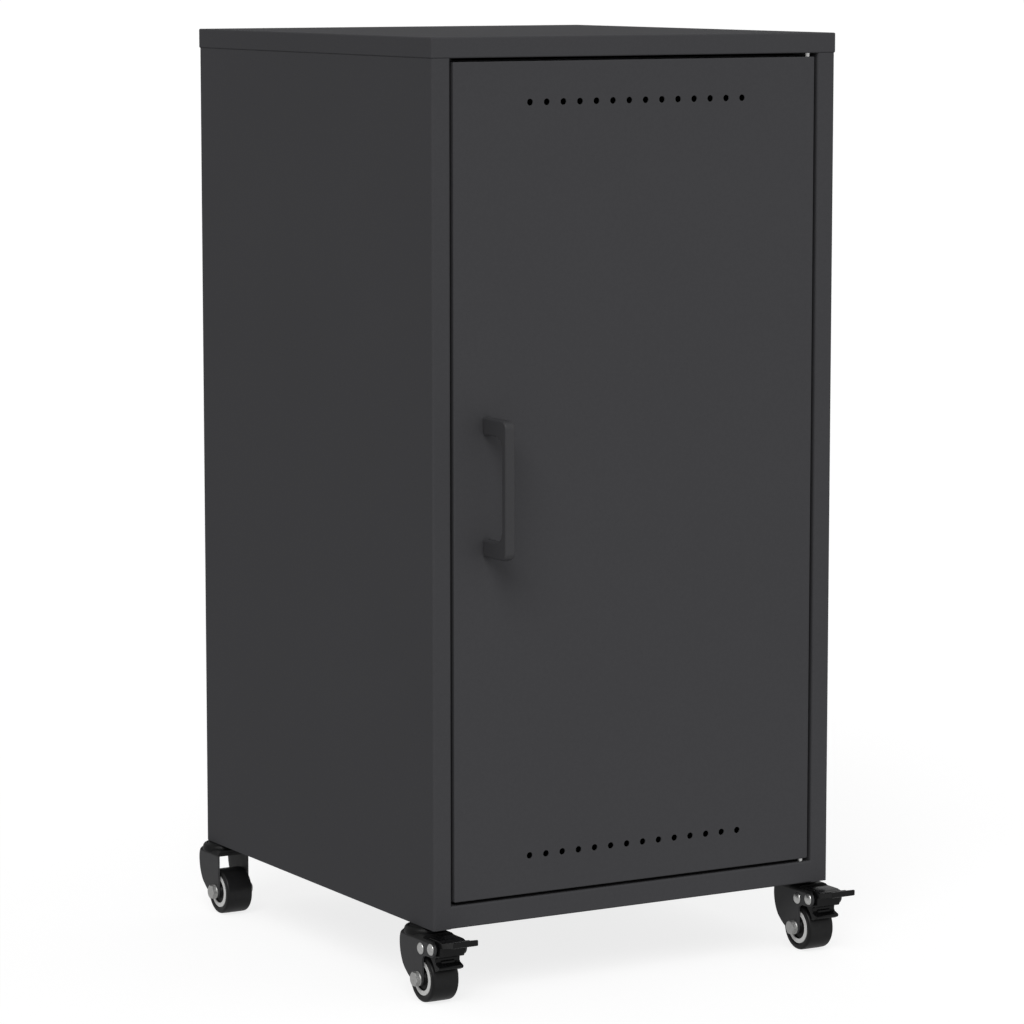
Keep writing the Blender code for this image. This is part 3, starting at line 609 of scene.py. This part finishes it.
def build_side(name, node, right):
    """Stile, door stop, side and rear flange in one sheet, with its inner top flange."""
    plan = [
        (STOP_EDGE, STILE_RETURN),
        (STILE, STILE_RETURN),
        (STILE, 0),
        (0, 0),
        (0, CASE_DEPTH),
        (REAR_FLANGE, CASE_DEPTH),
    ]
    if right:
        plan = [(CASE_WIDTH - x, y) for x, y in plan]
    path = [at(x, y, 0) for x, y in plan]
    sheet = ribbon(name, path, (0, 0, PANEL_HEIGHT * MM), (0, -1, 0))
    panel = folded(sheet, SIDE_BEND * MM)
    left_x, right_x = sorted(CASE_WIDTH - x if right else x for x in TOP_FLANGE_X)
    front_y, back_y = TOP_FLANGE_Y
    top = PANEL_HEIGHT - TOP_FLANGE_DROP
    corners = at(left_x, front_y, top - TOP_FLANGE_GAUGE), at(right_x, back_y, top)
    flange = cutter(name + "_flange", box_bmesh(*corners))
    sizes = BACK_SCREW_HOLE * MM, BACK_DRILL * MM
    holes = rods(name + "_holes", back_screw_points(), *sizes, REARWARD, COARSE_ROUND)
    combine(panel, flange, "UNION")
    settled(combine(panel, holes, "DIFFERENCE"))
    discard(flange, holes)
    piece(panel, "cabinet", "powder_coat", node)


def build_rail():
    """The bottom rail, a channel between the stiles, with the lower pivot hole."""
    left = STILE + RAIL_GAP
    plan = ((RAIL_RETURN, 0), (0, 0), (0, RAIL_HEIGHT), (RAIL_RETURN, RAIL_HEIGHT))
    path = [at(left, y, z) for y, z in plan]
    sweep = ((CASE_WIDTH - 2 * left) * MM, 0, 0)
    rail = folded(ribbon("front_rail", path, sweep, (0, 0, -1)), RAIL_BEND * MM)
    hole = pivot_cutter("rail_hole", RAIL_HEIGHT)
    settled(combine(rail, hole, "DIFFERENCE"))
    discard(hole)
    piece(rail, "cabinet", "powder_coat", "bottom_rail")


def build_welds():
    """The ground-flush welds that close the rail's ends to the stiles."""
    round_bend = RAIL_BEND - WELD_INSET
    section = [(WELD_DEPTH, RAIL_HEIGHT), (RAIL_BEND, RAIL_HEIGHT)]
    section += arc((RAIL_BEND, RAIL_HEIGHT - RAIL_BEND), round_bend, 90, 180, 6)
    section += arc((RAIL_BEND, RAIL_BEND), round_bend, 180, 270, 6)
    section.append((WELD_DEPTH, WELD_INSET))
    outline = [(ORIGIN.y + y * MM, ORIGIN.z + z * MM) for y, z in section]
    end = STILE + RAIL_GAP + WELD_LAP
    spans = (("left", WELD_START, end), ("right", CASE_WIDTH - end, CASE_WIDTH - WELD_START))
    for side, low, high in spans:
        bm = prism_bmesh(outline, ORIGIN.x + low * MM, ORIGIN.x + high * MM)
        weld = settled(new_object("rail_weld_" + side, bm))
        piece(weld, "cabinet", "powder_coat")


def handle_screw_points():
    """The handle's screw points on the door's face, lower then upper."""
    return [at(HANDLE_X, 0, z) for z in HANDLE_SCREW_ROWS]


def build_door():
    """The door, a tray open to the rear, drilled for vents, handle screws and pivots."""
    shell = tray("door", DOOR_LOW, DOOR_HIGH, REARWARD, DOOR_HEM * MM)
    door = folded(shell, DOOR_BEND * MM)
    vents = []
    for z in VENT_ROWS:
        for index in range(VENTS):
            vents.append(at(VENT_FIRST + VENT_PITCH * index, 0, z))
    deep = SHEET_DRILL * MM
    screws = handle_screw_points()
    cutters = [
        rods("vents", vents, VENT_RADIUS * MM, deep, REARWARD, VENT_ROUND),
        rods("door_screws", screws, HANDLE_SCREW_HOLE * MM, deep, REARWARD, COARSE_ROUND),
        pivot_cutter("door_hole_low", (DOOR_LOW.z - ORIGIN.z) / MM),
        pivot_cutter("door_hole_high", (DOOR_HIGH.z - ORIGIN.z) / MM),
    ]
    for tool in cutters:
        combine(door, tool, "DIFFERENCE")
    settled(door)
    discard(*cutters)
    piece(door, "door", "powder_coat", "door_panel")


# ---------------------------------------------------------------- handle and hardware

HANDLE_EDGE = 1.4
# The pan-head screws: radius, head, shank radius and length, and how far behind a point they sit
HANDLE_SCREW = (3.8 * MM, 2.2 * MM, 2.0 * MM, 13 * MM)
HANDLE_SCREW_SEAT = Vector((0, 1.3 * MM, 0))
BACK_SCREW = (3.4 * MM, 1.6 * MM, 1.6 * MM, 6.3 * MM)
BACK_SCREW_SEAT = Vector((0, 0.3 * MM, 0))
CATCH = ((29.6, 17.4, 345), (41.6, 31.0, 385))
CATCH_EAR = ((18, 19.3, 350), (36, 21.7, 380))
EAR_HOLES = ((23.4, 20, 356), (23.4, 20, 374))
EAR_HOLE = 1.7
POLES_X = (32.4, 37.0)
POLE_GAUGE = 1.8
POLE_Z = (348.4, 381.6)


def handle_outline():
    """Side view (y, z) in millimetres of the bridge handle about its foot line and middle."""
    reach, half, bar, leg, fillet, corner, foot = 38.0, 57.2, 6.5, 14.0, 11.0, 7.0, -0.3
    upper = [(foot, half), *arc((-reach + corner, half - corner), corner, 90, 180, 14)]
    inner = arc((-reach + bar + fillet, half - leg - fillet), fillet, 180, 90, 14)
    lower = [(y, -z) for y, z in reversed(upper)]
    inside = [(y, -z) for y, z in reversed(inner)]
    return upper + lower + [(foot, -half + leg)] + inside + inner + [(foot, half - leg)]


def build_handle():
    """The bridge handle on the door's face."""
    middle = (HANDLE_LOW + HANDLE_HIGH) / 2
    outline = [(ORIGIN.y + y * MM, middle.z + z * MM) for y, z in handle_outline()]
    handle = new_object("bridge_handle", prism_bmesh(outline, HANDLE_LOW.x, HANDLE_HIGH.x))
    rounded(handle, HANDLE_EDGE * MM, 5)
    settled(handle)
    piece(handle, "door", "powder_coat", "handle", finish="handle_coat")


def screw_profile(radius, head, shank, length):
    """(radius, height) of a domed pan head on a blunt shank, seated at height 0."""
    profile = [(0, head)]
    for angle in (0.5, 0.9, 1.25, 1.5):
        profile.append((radius * math.sin(angle), head * (0.35 + 0.65 * math.cos(angle))))
    profile += [(radius, 0.25 * head), (radius * 0.98, 0)]
    profile += [(shank, 0), (shank, -length + shank), (0, -length)]
    return profile


def screw(name, node, body, seat, radius, head, shank, length):
    """A pan-head screw with a cross recess, its head facing the rear."""
    place = Matrix.Translation(seat) @ turned_to(REARWARD)
    profile = screw_profile(radius, head, shank, length)
    obj = new_object(name, placed(lathe_bmesh(profile, SMALL_ROUND), place))
    low = (-0.55 * radius, -0.09 * radius, 0.45 * head)
    high = (0.55 * radius, 0.09 * radius, 1.5 * head)
    tools = []
    for spin in (0, math.pi / 2):
        arm = placed(box_bmesh(low, high), place @ Matrix.Rotation(spin, 4, "Z"))
        tools.append(cutter(name + "_arm", arm))
    for tool in tools:
        combine(obj, tool, "DIFFERENCE")
    bake(obj)
    discard(*tools)
    piece(obj, body, "zinc", node)


def build_screws():
    """The handle's screws inside the door, and the back panel's screws."""
    names = ("handle_screw_lower", "handle_screw_upper")
    for name, point in zip(names, handle_screw_points()):
        screw("pan_" + name, name, "door", point + HANDLE_SCREW_SEAT, *HANDLE_SCREW)
    names = ("left_lower", "left_upper", "right_lower", "right_upper")
    for name, point in zip(names, back_screw_points()):
        seat = point + BACK_SCREW_SEAT
        screw("pan_back_" + name, "back_screw_" + name, "cabinet", seat, *BACK_SCREW)


def pin_profile(length):
    """(radius, height) of a headed pin with a pointed end, from its length in millimetres."""
    head = [(0, 0), (2.9, 0), (3.4, 0.5), (3.4, 2.0), (2.5, 2.0)]
    end = [(2.5, length - 0.9), (1.8, length - 0.2), (1.2, length), (0, length)]
    return metres(head + end)


def build_pins():
    """Headed pivot pins: the head behind its bracket, the shank across the door gap."""
    for name, hangs in (("top", True), ("bottom", False)):
        low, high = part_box("hinge_pin_" + name)
        start = high.z if hangs else low.z
        place = Matrix.Translation(((low.x + high.x) / 2, (low.y + high.y) / 2, start))
        if hangs:
            place = place @ Matrix.Rotation(math.pi, 4, "X")
        profile = pin_profile((high.z - low.z) / MM)
        pin = lathed("pivot_pin_" + name, profile, place, SMALL_ROUND)
        piece(pin, "cabinet", "zinc", "hinge_pin_" + name)


def build_catch():
    """The magnet housing on its screw ear, slotted for its pole plates."""
    housing = new_object("catch_housing", box_bmesh(*(at(*point) for point in CATCH)))
    slots = []
    for x in POLES_X:
        slot = box_bmesh(at(x - 0.3, 16, 348), at(x + POLE_GAUGE + 0.3, 20, 382))
        slots.append(cutter("pole_slot", slot))
    ear = cutter("catch_ear", box_bmesh(*(at(*point) for point in CATCH_EAR)))
    combine(housing, ear, "UNION")
    centres = [at(*point) for point in EAR_HOLES]
    holes = rods("ear_holes", centres, EAR_HOLE * MM, 8 * MM, REARWARD, COARSE_ROUND)
    combine(housing, holes, "DIFFERENCE")
    for slot in slots:
        combine(housing, slot, "DIFFERENCE")
    rounded(housing, 0.5 * MM, 3, math.radians(60))
    settled(housing)
    discard(ear, holes, *slots)
    piece(housing, "cabinet", "black_plastic", "magnet_catch")


def build_poles():
    """The two steel pole plates in the magnet housing."""
    low_z, high_z = POLE_Z
    for index, x in enumerate(POLES_X):
        bm = box_bmesh(at(x, 17.45, low_z), at(x + POLE_GAUGE, 19.6, high_z))
        plate = new_object(f"pole_plate_{index}", bm)
        rounded(plate, 0.25 * MM, 2)
        settled(plate)
        piece(plate, "cabinet", "zinc")


# ---------------------------------------------------------------- casters

JOINTS = {joint["name"]: Vector(joint["pos_m"]) for joint in frame["joints"]}
UNDERSIDE = ORIGIN.z
# Places are about the swivel axis and the case's underside, and the wheel is towards negative y
TRAIL = -16.6
AXLE = -41.7
PEDAL_PIVOT = (-38.0, -13.0)
REAR_RIVET = (-21.0, -15.3)
RIVET_HOLE = 2.5
AXLE_HOLE = 3.3
KINGPIN_HOLE = 4.3
CROSS_DRILL = 60 * MM
FORK_HALF = 15.3 * MM
FORK_TOP = -4.0 * MM
FORK_REACH = -50 * MM
FORK_DEEP = -52 * MM
FORK_BEND = 5.0 * MM
FORK_GAUGE = 1.8 * MM
NUT_SEAT = 15.6
NUT_END = 20.3
FORK_BACK = (
    (10.0, -3.0),
    (13.2, -7.0),
    (15.0, -11.5),
    (15.4, -16.0),
    (14.8, -22.0),
    (12.6, -29.0),
    (8.8, -35.2),
    (1.5, -41.2),
    (-6.0, -45.2),
)


def fork_outline(braked):
    """Side view (y, z) of a fork leg, in millimetres."""
    outline = [*smooth_path(FORK_BACK, 5), *arc((TRAIL, AXLE), 6.2, -58, -180, 16)]
    if braked:
        throat = ((-22.8, -28.0), (-22.8, -26.0), (-23.4, -23.4), (-25.4, -21.2), (-28.4, -20.0))
        outline += [*smooth_path(throat, 4), *arc(PEDAL_PIVOT, 6.6, -100, -270, 18)]
        outline += [(-24.3, -6.4), (-23.2, -6.1), (-22.8, -5.6)]
    outline.append((-22.8, -3.0))
    return outline


def cross_hole(name, y, z, radius):
    """A drill from side to side through a caster part at the origin."""
    return rods(name, [Vector((0, y, z)) * MM], radius * MM, CROSS_DRILL, (1, 0, 0))


def fork_shape(braked):
    """The pressed fork at the origin: a U-shaped strip trimmed to its outline, and drilled."""
    path = [
        (-FORK_HALF, FORK_REACH, FORK_DEEP),
        (-FORK_HALF, FORK_REACH, FORK_TOP),
        (FORK_HALF, FORK_REACH, FORK_TOP),
        (FORK_HALF, FORK_REACH, FORK_DEEP),
    ]
    fork = ribbon("fork_shape", path, (0, 70 * MM, 0), (-1, 0, 0))
    rounded(fork, FORK_BEND, 10)
    modifier(fork, "SOLIDIFY", thickness=FORK_GAUGE, offset=-1.0, use_even_offset=True)
    tools = [cutter("leg", prism_bmesh(metres(fork_outline(braked)), -30 * MM, 30 * MM))]
    combine(fork, tools[0], "INTERSECT")
    tools.append(cross_hole("axle_hole", TRAIL, AXLE, AXLE_HOLE))
    tools.append(rods("kingpin_hole", [Vector((0, 0, FORK_TOP))], KINGPIN_HOLE * MM, 8 * MM, UP))
    if braked:
        for y, z in (PEDAL_PIVOT, REAR_RIVET):
            tools.append(cross_hole("rivet_hole", y, z, RIVET_HOLE))
    for tool in tools[1:]:
        combine(fork, tool, "DIFFERENCE")
    rounded(fork, 0.4 * MM, 3, CUT_SHARP)
    settled(fork)
    discard(*tools)
    return fork


def guard_shape(braked):
    """The black underside of the fork's top: a ball race, with a thread guard across the front. Their black is
    partly painted shade, darkening where the case shades the caster's top.
    """
    guard = new_object("guard_shape", lathe_bmesh(metres(RACE), ROUND, closed=True))
    front = -24.4 if braked else -22.6
    low, high = Vector((-13.3, front, -8.9)) * MM, Vector((13.3, -9.5, -5.9)) * MM
    bar = cutter("guard_bar", box_bmesh(low, high))
    combine(guard, bar, "UNION")
    rounded(guard, 0.5 * MM, 3, CUT_SHARP)
    bake(guard)
    discard(bar)
    return guard


def copied(shape, name, matrix):
    """A finished shape's mesh, moved into place for one corner."""
    mesh = shape.data.copy()
    mesh.transform(matrix)
    obj = bpy.data.objects.new(name, mesh)
    bpy.context.scene.collection.objects.link(obj)
    return obj


# (radius, height) profiles of the stem with its crown disc, the skirt below it and the ball race
STEM = (
    (0.0, 15.5),
    (2.9, 15.5),
    (3.6, 15.2),
    (3.9, 14.4),
    (3.9, 1.2),
    (6.4, 1.0),
    (6.8, 0.2),
    (6.8, -0.35),
    (12.0, -0.35),
    (12.9, -0.8),
    (13.1, -1.6),
    (12.8, -2.6),
    (12.0, -3.3),
    (4.0, -3.3),
    (4.0, -6.2),
    (6.6, -6.2),
    (7.0, -6.6),
    (7.0, -9.6),
    (6.3, -10.4),
    (4.6, -10.7),
    (0.0, -10.7),
)
# The seal is black moulding over the fork's top, partly a real dust seal and partly painted shade under the case
SEAL = (
    (13.5, -4.3),
    (13.5, -1.1),
    (13.9, -0.7),
    (14.7, -0.75),
    (15.8, -1.4),
    (16.6, -2.4),
    (17.1, -3.8),
    (17.2, -6.8),
    (16.8, -7.4),
    (15.8, -7.4),
    (15.6, -4.3),
)
RACE = (
    (7.6, -5.85),
    (7.6, -8.6),
    (8.2, -9.2),
    (12.6, -9.2),
    (13.2, -8.6),
    (13.2, -5.85),
)


def tyre_profile():
    """(radius, height) of the tread ring: side wall, tight shoulder and a barely crowned band."""
    side = (
        (14.9, 11.9),
        (15.8, 12.4),
        (17.2, 12.5),
        (18.5, 12.4),
        (19.5, 11.9),
        (20.05, 11.0),
        (20.2, 9.6),
        (20.3, 6.0),
    )
    return mirrored([*smooth_path(side, 6), (20.3, 2.0)])


def core_profile():
    """(radius, height) of the pale rim, from its dark hub out to the tread."""
    face = [(10.5, 11.0), (10.7, 11.9), (11.1, 12.2), (13.9, 11.9), (14.3, 11.9)]
    return mirrored([*face, (14.6, 11.6), (14.6, 9.6)])


def hub_profile():
    """(radius, height) of the dark hub: dished web and a raised boss round the bore."""
    boss = [(3.3, 12.8), (5.0, 12.8), (5.5, 12.5), (5.8, 11.7), (6.3, 10.6)]
    web = [(7.2, 10.2), (9.4, 10.5), (10.1, 11.2), (10.35, 11.6)]
    return mirrored([*boss, *web, (10.45, 11.2), (10.45, 9.6)])


def sideways(centre):
    """Puts a shape made about z on an axle, its top pointing along +x."""
    return Matrix.Translation(centre) @ Matrix.Rotation(math.pi / 2, 4, "Y")


def hexagon(name, low, high, radius=6.5 * MM, chamfer=0.8 * MM):
    """A hexagonal head or nut about z with its outer corners turned off, from low to high."""
    bm = bmesh.new()
    add_rod(bm, radius, high - low, 6, Matrix.Translation((0, 0, (low + high) / 2)))
    head = new_object(name, bm)
    flat, outside = radius * math.cos(math.pi / 6), radius * 1.02
    profile = [(0, high), (flat * 0.96, high), (outside, high - chamfer)]
    profile += [(outside, low - MM), (0, low - MM)]
    tool = cutter(name + "_turning", lathe_bmesh(profile, ROUND))
    combine(head, tool, "INTERSECT")
    bake(head)
    discard(tool)
    return head


def thread_profile(low, high, radius, pitch=0.8, depth=0.35):
    """Fine V rings in millimetres from high down to low, for a bolt's visible end."""
    points = []
    height = high
    while height > low:
        points += [(radius, height), (radius - depth, height - pitch / 2)]
        height -= pitch
    return points


def axle_shapes():
    """The hex bolt with its washer face, and its lock nut with the bolt end showing in it."""
    seat, end = NUT_SEAT, NUT_END
    head = hexagon("bolt_head", (seat + 0.5) * MM, end * MM)
    washer = [(0, seat + 0.9), (6.0, seat + 0.9), (6.2, seat + 0.6), (6.2, seat), (3.0, seat)]
    shank = [(3.0, -13), *thread_profile(-19.4, -15.5, 3.0), (2.4, -20.0), (0, -20.0)]
    body = bake(new_object("bolt_body", lathe_bmesh(metres(washer + shank), SMALL_ROUND)))
    nut = hexagon("nut_body", seat * MM, (end - 0.9) * MM)
    bore = rods("nut_bore", [Vector((0, 0, 0))], AXLE_HOLE * MM, CROSS_DRILL, UP)
    combine(nut, bore, "DIFFERENCE")
    bake(nut)
    discard(bore)
    collar = [(3.3, end - 1.2), (5.2, end - 1.2), (5.0, end - 0.3), (4.6, end), (3.5, end)]
    ring = new_object("nut_collar", lathe_bmesh(metres(collar), SMALL_ROUND, closed=True))
    return head, body, nut, bake(ring)


def joined(name, *parts):
    """One object from copies of several objects' meshes, given as (object, matrix)."""
    bm = bmesh.new()
    for obj, matrix in parts:
        mesh = obj.data.copy()
        mesh.transform(matrix)
        bm.from_mesh(mesh)
        bpy.data.meshes.remove(mesh)
    return bake(new_object(name, bm))


def rivet_profile():
    """(radius, height) of a domed head over its seat on each leg, with the shank between."""
    seat = NUT_SEAT
    crest = [(0.0, seat + 2.0), (1.6, seat + 1.9), (3.0, seat + 1.55)]
    brim = [(4.1, seat + 1.0), (4.8, seat + 0.4), (5.0, seat + 0.05)]
    return mirrored([*smooth_path(crest + brim, 4), (4.9, seat), (2.2, seat)])


def build_corner(corner, shapes):
    """One caster: its crown on the cabinet, its fork and bolts on the swivel, and its wheel."""
    braked = corner in BRAKED
    axis = JOINTS["swivel_turn_" + corner]
    place = Matrix.Translation((axis.x, axis.y, UNDERSIDE))
    axle = sideways(JOINTS["wheel_spin_" + corner])
    swivel, wheel = "swivel_" + corner, "wheel_" + corner
    # Crown and fork take the fork steel, with painted shade where they come close under the case
    stem = lathed("crown_" + corner, metres(STEM), place)
    piece(stem, "cabinet", "black_steel", "caster_stem_" + corner, finish="fork_steel_painted_shade")
    fork = copied(shapes["braked" if braked else "plain"], "pressed_fork_" + corner, place)
    piece(fork, swivel, "black_steel", "fork_" + corner, finish="fork_steel_painted_shade")
    tyre = lathed("tread_" + corner, tyre_profile(), axle, WHEEL_ROUND, closed=True)
    piece(tyre, wheel, "tyre_rubber", "tyre_" + corner)
    core = lathed("core_" + corner, core_profile(), axle, WHEEL_ROUND, closed=True)
    piece(core, wheel, "pale_plastic", "wheel_core_" + corner)
    hub = lathed("hub_" + corner, hub_profile(), axle, WHEEL_ROUND, closed=True)
    piece(hub, wheel, "black_plastic")
    # Race, thread guard and seal are black moulding: partly painted shade for the dark under the case
    guard = shapes["braked_guard" if braked else "plain_guard"]
    piece(copied(guard, "race_" + corner, place), swivel, "black_plastic")
    seal = lathed("seal_" + corner, metres(SEAL), place, closed=True)
    piece(seal, swivel, "black_plastic")
    head, body, nut, ring = shapes["axle"]
    flip = axle @ Matrix.Rotation(math.pi, 4, "X")
    bolt = joined("hex_bolt_" + corner, (head, flip), (body, flip))
    piece(bolt, swivel, "zinc", "axle_bolt_" + corner, finish="dull_zinc")
    lock_nut = joined("lock_nut_" + corner, (nut, axle), (ring, axle))
    piece(lock_nut, swivel, "zinc", "axle_nut_" + corner, finish="dull_zinc")
    if braked:
        build_rivets(corner, axis)


def build_rivets(corner, axis):
    """The two rivets across a braked fork."""
    for name, (y, z) in (("front_rivet_", PEDAL_PIVOT), ("rear_rivet_", REAR_RIVET)):
        place = sideways(Vector((axis.x, axis.y + y * MM, UNDERSIDE + z * MM)))
        rivet = lathed("domed_" + name + corner, rivet_profile(), place, SMALL_ROUND)
        piece(rivet, "swivel_" + corner, "zinc", name + corner)


# The brake rocker's outline, (y, z) like the fork's
TONGUE = (
    (-50.0, -6.1),
    (-67.9, -1.7),
    (-68.9, -1.6),
    (-69.5, -2.3),
    (-69.5, -5.9),
    (-68.6, -6.6),
    (-60.0, -8.3),
    (-51.0, -10.4),
    (-47.8, -11.0),
)
HOUSING = ((-46.9, -12.2), (-46.6, -18.4), (-45.6, -19.3), (-40.2, -20.0), (-38.9, -21.0))
LIP = (
    (-38.6, -24.0),
    (-39.8, -25.6),
    (-44.6, -27.2),
    (-45.4, -28.4),
    (-44.6, -29.8),
    (-40.0, -31.8),
)
PEDAL_BACK = (
    (-27.2, -18.0),
    (-27.2, -7.6),
    (-28.0, -6.0),
    (-30.0, -5.1),
    (-43.6, -5.1),
    (-46.4, -5.6),
)
PEDAL_HALF = 11.7
SHOE_RADIUS = 24.1


def pedal_ribs():
    """Three half-round grip ribs across the tongue, and a boss in the recess under the housing."""
    ribs = []
    for y in (-53.0, -56.2, -59.4):
        ribs.append(((y, tongue_top(y) - 0.25), 0.8, 9.2))
    ribs.append(((-37.6, -25.0), 2.3, 6.5))
    made = []
    for centre, radius, half in ribs:
        end = [(0, half), (radius * 0.6, half), (radius, half - 0.5)]
        bm = lathe_bmesh(mirrored(end), COARSE_ROUND)
        made.append(placed(bm, sideways(Vector((0, *centre)) * MM)))
    return made


def tongue_top(y):
    """The height of the tongue's upper face, in millimetres."""
    (y0, z0), (y1, z1) = TONGUE[:2]
    return z0 + (z1 - z0) * (y - y0) / (y1 - y0)


def pedal_shape():
    """The brake rocker at the origin: tongue, housing, release lip, shoe, ribs and boss."""
    shoe = arc((TRAIL, AXLE), SHOE_RADIUS, 155, 118, 16)
    outline = metres([*TONGUE, *HOUSING, *LIP, *shoe, *PEDAL_BACK])
    prism = prism_bmesh(outline, -PEDAL_HALF * MM, PEDAL_HALF * MM)
    body = rounded(new_object("pedal_shape", prism), 0.8 * MM, 4)
    bore = cross_hole("pedal_bore", *PEDAL_PIVOT, RIVET_HOLE)
    ribs = [cutter("pedal_rib", bm) for bm in pedal_ribs()]
    for rib in ribs:
        combine(body, rib, "UNION")
    combine(body, bore, "DIFFERENCE")
    settled(body)
    discard(bore, *ribs)
    return body


def build_pedals():
    """A brake rocker on each braked fork."""
    shape = pedal_shape()
    for corner in BRAKED:
        axis = JOINTS["swivel_turn_" + corner]
        pedal = copied(shape, "pedal_" + corner, Matrix.Translation((axis.x, axis.y, UNDERSIDE)))
        piece(pedal, "brake_" + corner, "pedal_black", "brake_pedal_" + corner)
    discard(shape)


def build_casters():
    """All four casters, from one set of shapes."""
    shapes = {"plain": fork_shape(False), "braked": fork_shape(True), "axle": axle_shapes()}
    shapes["plain_guard"] = guard_shape(False)
    shapes["braked_guard"] = guard_shape(True)
    for corner in CORNERS:
        build_corner(corner, shapes)
    for shape in ("plain", "braked", "plain_guard", "braked_guard"):
        discard(shapes[shape])
    discard(*shapes["axle"])
    build_pedals()


# ---------------------------------------------------------------- CAD nodes that stay


def finish_cad_nodes():
    """Gives each shown CAD node the finish of its material slot."""
    slots = {part["node"]: part["material_slot"] for part in frame["record"]["subparts"]}
    for name, node in frame["nodes"].items():
        if node.hide_render:
            continue
        for slot in node.material_slots:
            slot.material = FINISHES[slots[name]]


# ---------------------------------------------------------------- stage and camera

FLOOR_HALF = 45.0
FLOOR_ALBEDO = 0.31
FLOOR_GLOW = 0.80
FLOOR_DROP = 0.2 * MM
DOME_RADIUS = 40.0
DOME_GLOW = 1.02
SKY_STRENGTH = 0.42
KEY_FROM = (-0.36, -0.43, 0.52)
KEY_STRENGTH = 1.2
KEY_SPREAD = math.radians(34)
FILL_FROM = (0.55, -0.75, 0.25)
FILL_STRENGTH = 0.4
FILL_SPREAD = math.radians(100)
WHITE = (1.0, 1.0, 1.0, 1.0)
CAMERA_PLACE = (-1.86195, -3.19413, 0.86496)
CAMERA_DOWN = 0.13179
CAMERA_TURN = -0.52595
CAMERA_LENS = 149.93
SENSOR_WIDTH = 36
FAR_CLIP = 100


def sun_light(name, towards, strength, spread):
    """A far, wide light that shines from a direction."""
    data = bpy.data.lights.new(name, "SUN")
    data.energy = strength
    data.angle = spread
    light = bpy.data.objects.new(name, data)
    light.rotation_mode = "QUATERNION"
    light.rotation_quaternion = Vector(towards).to_track_quat("Z", "Y")
    bpy.context.scene.collection.objects.link(light)


def backing(name, bm, albedo, glow):
    """A stage sheet that glows as a lit table does, and leaves the object's own light alone."""
    sheet = new_object(name, bm)
    paper = Finish(name, (albedo, albedo, albedo), 0.9, specular=0.0)
    paper.shade(paper.ranged(paper.noise(3.0, 2.0), 0.997, 1.003))
    inputs = paper.shader.inputs
    inputs["Emission Color"].default_value = WHITE
    inputs["Emission Strength"].default_value = glow
    sheet.data.materials.append(paper.material)
    sheet.visible_diffuse = False
    sheet.visible_glossy = False
    sheet.visible_transmission = False
    sheet.visible_shadow = False
    return sheet


def build_stage():
    """A pale floor and backdrop, under an even studio sky with a soft key and fill."""
    bm = bmesh.new()
    bmesh.ops.create_grid(bm, x_segments=2, y_segments=2, size=FLOOR_HALF)
    backing("studio_floor", bm, FLOOR_ALBEDO, FLOOR_GLOW).location.z = -FLOOR_DROP
    bm = bmesh.new()
    bmesh.ops.create_icosphere(bm, subdivisions=4, radius=DOME_RADIUS)
    backing("studio_backdrop", bm, 0.0, DOME_GLOW)
    world = bpy.data.worlds.new("studio")
    bpy.context.scene.world = world
    world.use_nodes = True
    sky = world.node_tree.nodes["Background"]
    sky.inputs["Color"].default_value = WHITE
    sky.inputs["Strength"].default_value = SKY_STRENGTH
    sun_light("key", KEY_FROM, KEY_STRENGTH, KEY_SPREAD)
    sun_light("fill", FILL_FROM, FILL_STRENGTH, FILL_SPREAD)
    bpy.context.scene.view_settings.view_transform = "Standard"


def build_camera():
    """The photograph's viewing angle: a long lens from the left, a little above the lid."""
    data = bpy.data.cameras.new("camera")
    data.lens = CAMERA_LENS
    data.sensor_width = SENSOR_WIDTH
    data.clip_end = FAR_CLIP
    camera = bpy.data.objects.new("camera", data)
    camera.location = CAMERA_PLACE
    camera.rotation_euler = (math.pi / 2 - CAMERA_DOWN, 0, CAMERA_TURN)
    bpy.context.scene.collection.objects.link(camera)
    bpy.context.scene.camera = camera


build_stage()
build_camera()
build_lid()
build_side("side_left", "left_side_panel", False)
build_side("side_right", "right_side_panel", True)
build_rail()
build_welds()
build_door()
build_handle()
build_screws()
build_pins()
build_catch()
build_poles()
build_casters()
finish_cad_nodes()
